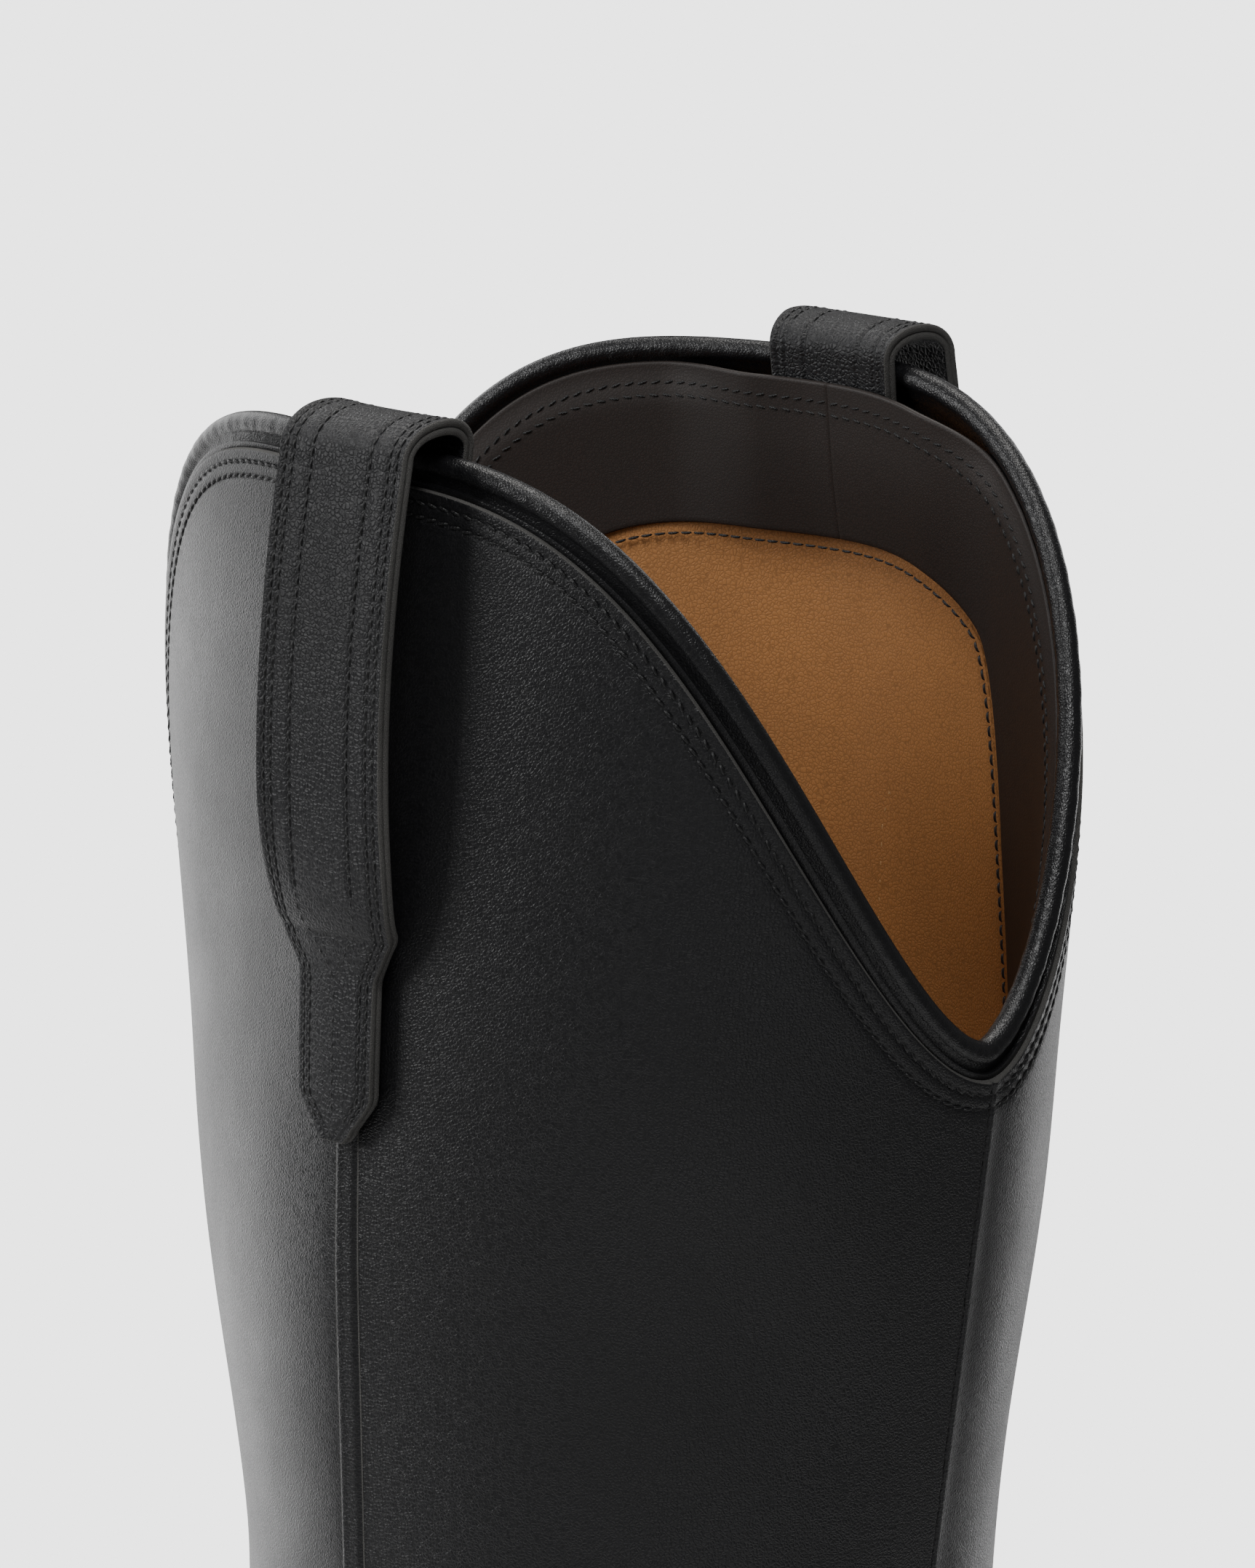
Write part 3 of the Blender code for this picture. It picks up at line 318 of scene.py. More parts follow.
def power(value, exponent):
    """Signed power, which keeps the sign of its value."""
    return np.sign(value) * np.abs(value) ** exponent


def fold(turns):
    """Turns past the back, folded to the range of half a turn each way."""
    return (turns + np.pi) % (2 * np.pi) - np.pi


def sole_height(x):
    """Height of the sole's underside: flat under the heel and ball, rising at waist and toe."""
    start = HEEL_BREAST + SEAT_RUN
    waist = HEEL_HEIGHT * (1 - ease((x - start) / (WAIST_END - start)))
    spring = np.clip((x - TREAD_END) / (TOE_TIP - TREAD_END), 0, None) ** 1.6 * TOE_SPRING
    return waist + spring


def feather_half_width(x):
    """Half width of the foot's outline: a round heel, a narrow waist, a wide ball, a pointed toe."""
    width = curve(x, [HEEL_BACK + HEEL_ROUND, WAIST_X, BALL_X],
                  [HEEL_HALF_WIDTH, WAIST_HALF_WIDTH, BALL_HALF_WIDTH])
    heel = np.clip(1 - (x - HEEL_BACK) / HEEL_ROUND, 0, 1)
    toe = np.clip(1 - (TOE_TIP - x) / TOE_TAPER, 0, 1)
    return width * np.sqrt(1 - heel ** 2) * (1 - toe ** TOE_POINT) ** (1 / TOE_POINT)


def centre_line(x):
    """Sideways place of the foot's middle: straight at the heel, swinging to the inner side."""
    return TOE_SWING * np.clip((x - WAIST_X) / (TOE_TIP - WAIST_X), 0, 1) ** 1.5


def top_depth(turn):
    """Depth of the scalloped top edge below the crest."""
    lean = np.cos(turn)
    sharpness = np.where(lean > 0, FRONT_DIP_SHARPNESS, BACK_DIP_SHARPNESS)
    return np.where(lean > 0, FRONT_DIP, BACK_DIP) * np.abs(lean) ** sharpness


def back_line(z):
    """Side view of the back: x at height z."""
    taper = SHAFT_AXIS - TOP_BACK
    low = CREST_HEIGHT - TAPER_END
    return curve(z, [sole_height(HEEL_BACK) + FEATHER, HEEL_BULGE_HEIGHT, ANKLE_HEIGHT * 0.8, ANKLE_HEIGHT,
                     low, CREST_HEIGHT, CREST_HEIGHT + 20 * MM],
                 [HEEL_BACK, HEEL_BULGE, ANKLE_BACK - 0.5 * MM, ANKLE_BACK,
                  taper + BACK_TAPER * TAPER_END, taper, taper - BACK_TAPER * 20 * MM])


def front_line(z):
    """Side view of the shaft's front, which runs on down inside the foot."""
    taper = SHAFT_AXIS + TOP_FRONT
    low = CREST_HEIGHT - TAPER_END
    leg = curve(z, [ANKLE_HEIGHT, low, CREST_HEIGHT, CREST_HEIGHT + 20 * MM],
                [ANKLE_FRONT, taper - FRONT_TAPER * TAPER_END, taper, taper + FRONT_TAPER * 20 * MM])
    instep = np.interp(np.maximum(z, INSTEP_MID_HEIGHT), RIDGE_Z[::-1], RIDGE_X[::-1])
    return np.where(z > ANKLE_HEIGHT, leg, instep)


def column_half_width(z):
    """Half width of leg and heel at height z."""
    calf = CREST_HEIGHT - CALF_DEPTH
    bulge = CALF_HALF_WIDTH - CALF_TO_TOP * ((z - calf) / CALF_DEPTH) ** 2
    low = CREST_HEIGHT - TAPER_END
    at_low = CALF_HALF_WIDTH - CALF_TO_TOP * ((low - calf) / CALF_DEPTH) ** 2
    ankle = curve(z, [HEEL_HEIGHT, HEEL_BULGE_HEIGHT, ANKLE_HEIGHT, low, low + 30 * MM],
                  [HEEL_HALF_WIDTH, HEEL_HALF_WIDTH + 2.5 * MM, ANKLE_HALF_WIDTH, at_low, at_low + 4 * MM])
    return np.where(z > low, bulge, ankle)


def fullness(z):
    """How much wider the back of the section is: full at the calf, nothing below the ankle."""
    start = CREST_HEIGHT - ROUND_BELOW
    return CALF_FULLNESS * (1 - ease((start - z) / (start - ANKLE_HEIGHT)))


def section_exponent(z):
    """Exponent of the leg's section: a rounded diamond at the calf, an ellipse at the ankle."""
    start = CREST_HEIGHT - ROUND_BELOW
    return ROUNDNESS + (2 - ROUNDNESS) * ease((start - z) / (start - ANKLE_HEIGHT))


def column_point(turn, z):
    """Point of the leg's surface at a turn and a height."""
    back, front = back_line(z), front_line(z)
    exponent = section_exponent(z)
    along = power(np.cos(turn), 2 / exponent)
    across = power(np.sin(turn), 2 / exponent)
    x = (back + front) / 2 + (front - back) / 2 * along
    y = column_half_width(z) * across * (1 - fullness(z) * along)
    return np.stack([x, y, z + 0 * x], -1)


def ridge():
    """Side view of the instep, from the ankle's front to the toe tip, as a fine polyline."""
    low = sole_height(TOE_TIP) + FEATHER
    places = [(0.00, ANKLE_FRONT, ANKLE_HEIGHT),
              (0.07, ANKLE_FRONT + 3 * MM, ANKLE_HEIGHT - 13 * MM),
              (0.16, ANKLE_FRONT + 13 * MM, ANKLE_HEIGHT - 30 * MM),
              (0.32, INSTEP_MID_X, INSTEP_MID_HEIGHT),
              (0.50, BALL_X, VAMP_HEIGHT),
              (0.74, TOE_BOX_X, TOE_BOX_HEIGHT),
              (0.85, TOE_TIP - 4 * MM, low + 2 * TOE_WALL),
              (0.93, TOE_TIP - 0.3 * MM, low + TOE_WALL),
              (1.00, TOE_TIP, low)]
    share, x, z = zip(*places)
    steps = np.linspace(0, 1, 401)
    return curve(steps, share, x), curve(steps, share, z)


RIDGE_X, RIDGE_Z = ridge()


def foot_half_width(x, z):
    """Half width of heel and foot: a domed foot, joined smoothly to the column of the leg."""
    feather = sole_height(x) + FEATHER
    behind = np.clip(INSTEP_MID_X - x, 0, None)
    top = np.interp(np.maximum(x, INSTEP_MID_X), RIDGE_X, RIDGE_Z)
    top = top + DOME_RISE * (1 - np.exp(-behind / DOME_RUN))
    share = np.clip((z - feather) / np.maximum(top - feather, 1e-6), 0, 1)
    dome = (1 - share ** DOME) ** (1 / DOME)
    bulge = 1 + DOME_SWELL * np.sin(np.pi * np.clip(share / 0.6, 0, 1))
    shift = (back_line(z) - HEEL_BACK) * (1 - ease((x - HEEL_BACK) / (60 * MM)))
    foot = feather_half_width(x - shift) * dome * bulge
    back, front = back_line(z), front_line(z)
    along = np.clip((x - (back + front) / 2) / ((front - back) / 2), -1, 1)
    leg = np.sqrt(1 - along ** 2) * (1 - fullness(z) * along)
    leg = column_half_width(z) * leg
    overlap = np.clip(1 - np.abs(foot - leg) / ANKLE_SOFTNESS, 0, None)
    both = np.maximum(foot, leg) + overlap ** 2 * ANKLE_SOFTNESS / 4
    return foot + (both - foot) * ease((z - feather) / DOME_BLEND)


def ring_ends(reach):
    """Back and front end of a foot ring, each as x and z: they run down the heel's back and the instep's ridge."""
    heel_z = ANKLE_HEIGHT + (sole_height(HEEL_BACK) + FEATHER - ANKLE_HEIGHT) * reach
    shares = np.linspace(0, 1, len(RIDGE_X))
    return back_line(heel_z), heel_z, np.interp(reach, shares, RIDGE_X), np.interp(reach, shares, RIDGE_Z)


def foot_point(turn, drop):
    """Point of the foot's surface: rings that tilt from the ankle down to the feather edge."""
    reach = drop - 1
    heel, heel_z, tip, tip_z = ring_ends(reach)
    along = np.cos(turn)
    x = (heel + tip) / 2 + (tip - heel) / 2 * along
    share = (1 + along) / 2
    straight = heel_z + (tip_z - heel_z) * share
    sole_heel, sole_tip = sole_height(heel) + FEATHER, sole_height(tip) + FEATHER
    curved = sole_height(x) + FEATHER + (heel_z - sole_heel) * (1 - share) + (tip_z - sole_tip) * share
    z = straight + (curved - straight) * reach ** 2
    y = foot_half_width(x, z) * np.sign(np.sin(turn))
    y = np.where(np.abs(np.sin(turn)) < 1e-9, 0, y)
    return np.stack([x, y + centre_line(x), z], -1)


def middle_line(x):
    """Point of the foot's middle line beside a place along it; the line stops short of heel and toe."""
    middle = np.clip(x, HEEL_BACK + 28 * MM, TOE_TIP - 42 * MM)
    return np.stack([middle, centre_line(middle)], -1)


def inset(points, distance):
    """Points of an outline moved inwards, towards the foot's middle line."""
    return points[..., :2] + unit(middle_line(points[..., 0]) - points[..., :2]) * distance


def on_sole(plan, level):
    """Plan points lifted to a level above the sole's underside."""
    return np.concatenate([plan, (sole_height(plan[..., 0]) + level)[..., None]], -1)


def skin(turn, drop):
    """The upper's outer surface: the shaft down to drop 1, the foot down to 2, and past it the turned-in margin."""
    turn, drop = np.broadcast_arrays(np.asarray(turn, float), np.asarray(drop, float))
    top = CREST_HEIGHT - top_depth(turn)
    shaft = column_point(turn, top + (ANKLE_HEIGHT - top) * np.clip(drop, None, 1))
    foot = foot_point(turn, np.clip(drop, 1, 2))
    edge = inset(foot, MARGIN * np.clip(drop - 2, 0, 1)[..., None])
    choice = drop[..., None]
    return np.where(choice <= 1, shaft, np.where(choice <= 2, foot, on_sole(edge, FEATHER)))


def outward(turn, drop):
    """Unit normals of the upper's surface, from its slopes."""
    turn, drop = np.broadcast_arrays(np.asarray(turn, float), np.asarray(drop, float))
    step = 0.01
    round_slope = skin(turn + step, drop) - skin(turn - step, drop)
    down_slope = skin(turn, drop + step) - skin(turn, np.maximum(drop - step, 0))
    return unit(np.cross(down_slope, round_slope))


def drop_below_top(turn, depth):
    """Drop value at a depth below the top edge."""
    return depth / (CREST_HEIGHT - top_depth(turn) - ANKLE_HEIGHT)


def drop_at_height(turn, above_feather):
    """Drop value in the foot at a height above the feather edge."""
    drops = np.linspace(1, 2, 201)[:, None]
    points = skin(np.asarray(turn)[None, :], drops)
    clear = points[..., 2] - sole_height(points[..., 0]) - FEATHER
    return np.array([np.interp(-above_feather, -clear[:, i], drops[:, 0]) for i in range(clear.shape[1])])


SHAFT_SEAM = math.pi / 2 + math.asin((SEAM_SET_BACK / TOP_FRONT) ** (ROUNDNESS / 2))


def seam_turn(drop):
    """Turn of the side seam: the same all down the shaft, then straight down to the heel's breast."""
    reach = np.clip(np.asarray(drop, float) - 1, 0, 1)
    heel, _, tip, _ = ring_ends(reach)
    ankle = (ANKLE_BACK + ANKLE_FRONT) / 2
    behind = (ANKLE_FRONT - ANKLE_BACK) / 2 * math.cos(SHAFT_SEAM) * (1 - reach)
    return np.arccos((ankle + behind + SEAM_LEAN * reach - (heel + tip) / 2) / ((tip - heel) / 2))


def turn_step(turn, drop, length):
    """Change of turn that moves a point by a length round the surface."""
    small = 0.02
    span = np.linalg.norm(skin(turn + small, drop) - skin(turn - small, drop), axis=-1)
    return length * 2 * small / np.maximum(span, 1e-6)


def vamp_line(turn):
    """Drop of the vamp's top edge: a rounded tongue in front, low at the side seams."""
    share = np.clip(np.abs(fold(turn)) / seam_turn(VAMP_SIDE), 0, 1)
    rounded = share ** 2 / (share + TONGUE_ROUND)
    return VAMP_FRONT + (VAMP_SIDE - VAMP_FRONT) * (1 - (1 - rounded) ** VAMP_BEND)


def counter_line(turn):
    """Drop of the heel counter's top edge: highest at the back."""
    share = np.clip((np.pi - np.abs(fold(turn))) / (np.pi - seam_turn(VAMP_SIDE)), 0, 1)
    return COUNTER_BACK + (COUNTER_SIDE - COUNTER_BACK) * ease(share)


def surface(turn, drop, depth):
    """Points under the upper's surface, and its normals: the skin moved along its normal by swell less depth."""
    turn, drop = np.broadcast_arrays(np.asarray(turn, float), np.asarray(drop, float))
    points, normals = skin(turn, drop), outward(turn, drop)
    lift = swell(turn, drop, points[..., 2]) - np.asarray(depth)
    return points + normals * lift[..., None], normals


def swell(turn, drop, z):
    """Height of the soft leg's relief: two slow crossed waves that fade under the top edge and beside the straps,
    less a few sagging creases, each a bell curve of height, across the ankle's front."""
    lean = fold(turn)
    free = ease((CREST_HEIGHT - top_depth(turn) - z - 25 * MM) / (50 * MM))
    calm = 1 - 0.85 * np.exp(-((np.abs(lean) - SHAFT_SEAM) / 0.30) ** 2) * ease((z - 270 * MM) / (20 * MM))
    waves = np.sin(2.3 * lean + z / LONG_WAVE) + 0.8 * np.sin(z / SHORT_WAVE - 1.7 * lean + 1.1)
    leg = sizes().swell * waves * free * calm * ease((z - 90 * MM) / (40 * MM))
    creases = 0 * z
    for number, (height, depth) in enumerate(CREASES):
        middle = height + 5 * MM * np.sin(1.4 * lean + 2.1 * number) - 7 * MM * lean ** 2 / 2
        creases = creases - depth * np.exp(-((z - middle) / CREASE_WIDTH) ** 2)
    front = np.exp(-(lean / CREASE_REACH) ** 2) * (drop < 1.25)
    return leg + creases * front * ease((CREST_HEIGHT - z) / (60 * MM))


def edge_slope(turn):
    """Rise of the top edge against its run round the leg."""
    small = 0.006
    before, after = skin(turn - small, 0 * turn), skin(turn + small, 0 * turn)
    run = np.linalg.norm((after - before)[..., :2], axis=-1)
    return (after - before)[..., 2] / np.maximum(run, SHORTEST)


def below(turn, distance):
    """Drop at a distance square to the top edge."""
    return drop_below_top(turn, distance * np.sqrt(1 + edge_slope(turn) ** 2))


def seam_edge(side, toward_back, room):
    """Turn of a panel's edge beside the side seam on one side."""
    def edge(drop):
        seam = seam_turn(drop)
        shift = turn_step(seam, drop, room)
        return side * (seam + shift if toward_back else seam - shift)
    return edge


def past_back(edge):
    """An edge on the right side, carried on past the back."""
    return lambda drop: edge(drop) + 2 * np.pi


def beside_back(side, room):
    """Turn of a panel's edge beside the back seam."""
    return lambda drop: side * (np.pi - turn_step(np.pi + 0 * drop, drop, room))


def spread(count, near=(), far=()):
    """Even shares from 0 to 1, with given ones close to each end."""
    near, far = np.asarray(near, float), np.asarray(far, float)
    first = near[-1] * 1.6 if len(near) else 0.0
    last = far[-1] * 1.6 if len(far) else 0.0
    return np.concatenate([near, np.linspace(first, 1 - last, count), 1 - far[::-1]])


def grid(first, last, across, top, bottom, down):
    """Grid of turns and drops between two seams and two lines, at the given shares across and down."""
    drops = np.zeros((len(down), len(across))) + down[:, None]
    for _ in range(4):
        turns = first(drops) + (last(drops) - first(drops)) * across[None, :]
        drops = top(turns) + (bottom(turns) - top(turns)) * down[:, None]
    return turns, drops


# ---------------------------------------------------------------- meshes

def cells(rows, columns, wrap_rows=False, wrap_columns=False):
    """Four-cornered faces of a grid of points; wrapping joins the last row or column to the first."""
    index = np.arange(rows * columns).reshape(rows, columns)
    if wrap_rows:
        index = np.concatenate([index, index[:1]])
    if wrap_columns:
        index = np.concatenate([index, index[:, :1]], 1)
    return np.stack([index[:-1, :-1], index[:-1, 1:], index[1:, 1:], index[1:, :-1]], -1).reshape(-1, 4)


def put(name, points, faces, materials, slots=None, sharp=60):
    """Object from points and four-cornered faces, turned outwards if their volume comes out negative."""
    points = np.asarray(points, float).reshape(-1, 3)
    corner = [points[faces[:, i]] for i in range(4)]
    volume = sum(np.einsum("ij,ij->i", corner[0], np.cross(corner[i], corner[i + 1])).sum() for i in (1, 2))
    faces = faces if volume > 0 else faces[:, ::-1]
    mesh = bpy.data.meshes.new(name)
    mesh.vertices.add(len(points))
    mesh.vertices.foreach_set("co", points.astype(np.float32).ravel())
    mesh.loops.add(faces.size)
    mesh.loops.foreach_set("vertex_index", np.ascontiguousarray(faces, dtype=np.int32).ravel())
    mesh.polygons.add(len(faces))
    mesh.polygons.foreach_set("loop_start", np.arange(0, faces.size, 4, dtype=np.int32))
    for surface_material in materials:
        mesh.materials.append(surface_material)
    if slots is not None:
        mesh.polygons.foreach_set("material_index", np.asarray(slots, dtype=np.int32))
    mesh.update(calc_edges=True)
    mesh.shade_smooth()
    mesh.set_sharp_from_angle(angle=math.radians(sharp))
    made = bpy.data.objects.new(name, mesh)
    bpy.context.collection.objects.link(made)
    return made


def sew(made):
    """Merges points that lie on each other, and drops the faces that close up."""
    shape = bmesh.new()
    shape.from_mesh(made.data)
    bmesh.ops.remove_doubles(shape, verts=shape.verts, dist=2e-6)
    bmesh.ops.dissolve_degenerate(shape, edges=shape.edges, dist=1e-6)
    bmesh.ops.recalc_face_normals(shape, faces=shape.faces)
    shape.to_mesh(made.data)
    shape.free()
    return made


def shell(name, outer, inner, materials, rim=ROUND_RIM):
    """Closed sheet between two matching grids. Its edge bulges: each rim ring lies part of the way from outer to
    inner and is pushed out, square to the edge and to the sheet's thickness. The rim takes the last material."""
    rows, columns = outer.shape[:2]
    half = rows * columns
    index = np.arange(half).reshape(rows, columns)
    loop = np.concatenate([index[0, :-1], index[:-1, -1], index[-1, :0:-1], index[:0:-1, 0]])
    beside = np.concatenate([index[1, :-1], index[:-1, -2], index[-2, :0:-1], index[:0:-1, 1]])
    flat_outer, flat_inner = outer.reshape(-1, 3), inner.reshape(-1, 3)
    start, end = flat_outer[loop], flat_inner[loop]
    along = unit(np.roll(start, -1, 0) - np.roll(start, 1, 0))
    push = start - flat_outer[beside]
    push = push - along * np.sum(push * along, -1, keepdims=True)
    across = unit(start - end)
    push = unit(push - across * np.sum(push * across, -1, keepdims=True))
    rings = [start + (end - start) * share + push * out for out, share in rim]
    count = len(loop)
    numbers = [loop] + [2 * half + i * count + np.arange(count) for i in range(len(rings))] + [loop + half]
    side = [np.stack([np.roll(a, -1), a, b, np.roll(b, -1)], -1) for a, b in zip(numbers[:-1], numbers[1:])]
    body = cells(rows, columns)
    faces = np.concatenate([body, body[:, ::-1] + half] + side)
    slots = np.zeros(len(faces), int)
    slots[2 * len(body):] = len(materials) - 1
    return put(name, np.concatenate([flat_outer, flat_inner] + rings), faces, materials, slots)


def ring(name, loops, materials):
    """Closed ring of cross-sections: a grid of points joined both ways."""
    rows, columns = loops.shape[:2]
    return put(name, loops, cells(rows, columns, True, True), materials)


def offset_path(path, normals, distance, closed=False):
    """Path moved sideways in the surface: square to its own direction and to the surface's normal."""
    if closed:
        along = np.roll(path, -1, 0) - np.roll(path, 1, 0)
    else:
        along = np.gradient(path, axis=0)
    return path + unit(np.cross(unit(normals), unit(along))) * distance


# A stitch's rings: place along it, radius and height above the leather, as shares of half its length and its radius.
STITCH_RINGS = ((-1.0, 0.45, -1.0), (-0.72, 0.9, -0.1), (0.0, 1.0, 0.25), (0.72, 0.9, -0.1), (1.0, 0.45, -1.0))
STITCH_SIDES = 6


def stitches(path, normals, slant=0.0, closed=False, pitch=None):
    """Points and faces of a row of stitches: at each pitch a short arched thread whose ends dive in. slant turns
    each stitch away from the path's direction."""
    pitch = pitch or sizes().pitch
    if closed:
        path = np.concatenate([path, path[:1]])
        normals = np.concatenate([normals, normals[:1]])
    reach = np.concatenate([[0], np.cumsum(np.linalg.norm(np.diff(path, axis=0), axis=1))])
    count = max(2, int(round(reach[-1] / pitch)))
    places = (np.arange(count) + 0.5) * reach[-1] / count

    def sample(values, at):
        return np.stack([np.interp(at, reach, values[:, i]) for i in range(3)], -1)

    centre = sample(path, places)
    up = unit(sample(normals, places))
    along = unit(sample(path, places + 0.4 * MM) - sample(path, places - 0.4 * MM))
    beside = unit(np.cross(up, along))
    along = unit(along * math.cos(slant) + beside * math.sin(slant))
    beside = unit(np.cross(up, along))
    place, size, height = (np.array(values)[:, None] for values in zip(*STITCH_RINGS))
    angle = np.linspace(0, 2 * np.pi, STITCH_SIDES, endpoint=False)[None, :]
    radius = sizes().thread
    forward = place * sizes().stitch / 2 * (pitch / sizes().pitch) + 0 * angle
    sideways = size * radius * np.cos(angle)
    upward = size * radius * np.sin(angle) + height * radius
    local = np.stack([forward, sideways, upward], -1).reshape(-1, 3)
    points = (centre[:, None] + along[:, None] * local[None, :, :1] + beside[:, None] * local[None, :, 1:2]
              + up[:, None] * local[None, :, 2:])
    rings = len(STITCH_RINGS)
    body = cells(rings, STITCH_SIDES, False, True)
    cap = np.array([[0, 1, 2, 3], [0, 3, 4, 5]])
    one = np.concatenate([body, cap[:, ::-1], cap + (rings - 1) * STITCH_SIDES])
    faces = one[None] + (np.arange(count) * rings * STITCH_SIDES)[:, None, None]
    return points.reshape(-1, 3), faces.reshape(-1, 4)


def thread(name, rows, material):
    """One object from several rows of stitches."""
    points, faces, start = [], [], 0
    for row_points, row_faces in rows:
        points.append(row_points)
        faces.append(row_faces + start)
        start += len(row_points)
    return put(name, np.concatenate(points), np.concatenate(faces), [material])


def place(made, body, slot, *nodes):
    """Rides a piece on its body and hides the frame nodes that it stands for; slot is not used."""
    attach(made, body)
    if nodes:
        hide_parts(*nodes)
    return made


# ---------------------------------------------------------------- materials

def add(tree, kind, inputs=None, **settings):
    """Adds one node, sets its properties, and sets or links its inputs."""
    node = tree.nodes.new(kind)
    for key, value in settings.items():
        setattr(node, key, value)
    for key, value in (inputs or {}).items():
        if isinstance(value, bpy.types.NodeSocket):
            tree.links.new(value, node.inputs[key])
        else:
            node.inputs[key].default_value = value
    return node


def shader(name, roughness, ior=1.5, metallic=0.0, sheen=0.0, specular=0.5):
    """Material with one Principled shader and its constant settings; returns it, its tree and its shader."""
    made = bpy.data.materials.get(name)
    if made:
        return made, None, None
    made = bpy.data.materials.new(name)
    made.use_nodes = True
    tree = made.node_tree
    surface_node = tree.nodes["Principled BSDF"]
    surface_node.inputs["Roughness"].default_value = roughness
    surface_node.inputs["IOR"].default_value = ior
    surface_node.inputs["Metallic"].default_value = metallic
    surface_node.inputs["Sheen Weight"].default_value = sheen
    surface_node.inputs["Specular IOR Level"].default_value = specular
    return made, tree, surface_node


def mixed(tree, share, first, second):
    """Colour between two colours."""
    node = add(tree, "ShaderNodeMix", data_type="RGBA")
    for index, value in ((0, share), (6, first), (7, second)):
        if isinstance(value, bpy.types.NodeSocket):
            tree.links.new(value, node.inputs[index])
        else:
            node.inputs[index].default_value = (*value, 1.0) if index else value
    return node.outputs[2]


def between(tree, value, low, high, first=0.0, last=1.0):
    """Value carried from one range to another."""
    return add(tree, "ShaderNodeMapRange", {"Value": value, "From Min": low, "From Max": high, "To Min": first,
                                            "To Max": last}).outputs["Result"]


def grained(name, base, tone, grain, relief, roughness, streak=None, sheen=0.0, specular=0.5):
    """Leather: pebbles bounded by fine valleys darkened with painted shade, pores between them, and slow changes of
    tone and polish.
    """
    made, tree, surface_node = shader(name, roughness, sheen=sheen, specular=specular)
    if tree is None:
        return made
    spot = add(tree, "ShaderNodeTexCoord").outputs["Object"]
    if streak:
        spot = add(tree, "ShaderNodeMapping", {"Vector": spot, "Scale": streak}).outputs["Vector"]
    bend = add(tree, "ShaderNodeTexNoise", {"Vector": spot, "Scale": 0.4 / grain, "Detail": 2.0})
    shift = add(tree, "ShaderNodeVectorMath", {0: bend.outputs["Color"], 1: (grain, grain, grain)},
                operation="MULTIPLY").outputs["Vector"]
    warped = add(tree, "ShaderNodeVectorMath", {0: spot, 1: shift}, operation="ADD").outputs["Vector"]
    pebble = add(tree, "ShaderNodeTexVoronoi", {"Vector": warped, "Scale": 1 / grain}, feature="DISTANCE_TO_EDGE")
    rounded = between(tree, pebble.outputs["Distance"], 0.0, 0.28)
    pores = add(tree, "ShaderNodeTexNoise", {"Vector": spot, "Scale": 3 / grain, "Detail": 3.0})
    slow = add(tree, "ShaderNodeTexNoise", {"Vector": spot, "Scale": 1 / 0.035, "Detail": 5.0, "Roughness": 0.6})
    height = add(tree, "ShaderNodeMath", {0: pores.outputs["Fac"], 1: 0.45, 2: rounded}, operation="MULTIPLY_ADD")
    bump = add(tree, "ShaderNodeBump", {"Height": height.outputs["Value"], "Distance": relief, "Strength": 1.0})
    share = between(tree, slow.outputs["Fac"], 0.35, 0.68)
    # Painted shade: the colour darkens to 0.45 of the base in the fine valleys between the pebbles.
    valley_shade = between(tree, pebble.outputs["Distance"], 0.0, 0.12, 0.55, 0.0)
    body = mixed(tree, share, base, tone)
    dark = tuple(part * 0.45 for part in base)
    tree.links.new(mixed(tree, valley_shade, body, dark), surface_node.inputs["Base Color"])
    polish = between(tree, slow.outputs["Fac"], 0.3, 0.7, roughness + 0.05, roughness - 0.05)
    tree.links.new(polish, surface_node.inputs["Roughness"])
    tree.links.new(bump.outputs["Normal"], surface_node.inputs["Normal"])
    return made


def toned(base, factor):
    """Colour made lighter or darker by a factor."""
    return tuple(min(1.0, part * factor) for part in base)


def black_leather():
    """Chrome-tanned cowhide, drum-dyed black, fine pebble grain, light wax finish: small soft highlights."""
    c = tuple(colours().black)
    return grained("drum-dyed pebble-grain cowhide", c, toned(c, 1.5), sizes().grain, 0.045 * MM, 0.42)


def strap_leather():
    """The same cowhide split thinner and folded double: a slightly coarser grain that catches more light, and the
    upper's colour made a quarter lighter as painted light.
    """
    # Painted light: the upper's colour made a quarter lighter for the strap.
    c = toned(tuple(colours().black), 1.25)
    return grained("doubled pebble-grain cowhide", c, toned(c, 1.6), sizes().grain * 1.3, 0.075 * MM, 0.5)


def bead_leather():
    """Skived sheep leather rolled over a cord: fine creases across the roll, a soft gloss."""
    c = tuple(colours().black)
    return grained("skived rolled sheep leather", c, toned(c, 1.4), 0.45 * MM, 0.03 * MM, 0.36)


def facing_leather():
    """Smooth aniline calf, black with a brown undertone, nearly without grain: a soft even sheen."""
    c = tuple(colours().facing)
    return grained("smooth aniline facing calf", c, toned(c, 1.4), 0.5 * MM, 0.012 * MM, 0.55)


def lining_leather():
    """Vegetable-tanned pigskin lining, tan, hand-buffed: warm, nearly matt, with pores and cloudy tone."""
    c = tuple(colours().lining)
    return grained("vegetable-tanned lining leather", c, toned(c, 1.22), 0.6 * MM, 0.03 * MM, 0.55)


def cut_edge():
    """Raw cut edge of dyed leather: grey-black fibres, matt, with the grey made lighter as a painted highlight along
    the edge.
    """
    # Painted highlight: part of this grey's lightness stands in for the light line along the cut edges.
    c = tuple(colours().edge)
    return grained("raw cut leather edge", c, toned(c, 1.8), 0.25 * MM, 0.06 * MM, 0.75)


def sole_leather():
    """Oak-bark tanned sole bend, dyed dark brown and burnished with wax: glossy bands along its fibres."""
    c = tuple(colours().sole)
    return grained("burnished oak-bark sole bend", c, toned(c, 1.7), 0.5 * MM, 0.05 * MM, 0.38,
                   streak=(0.35, 0.35, 2.2))


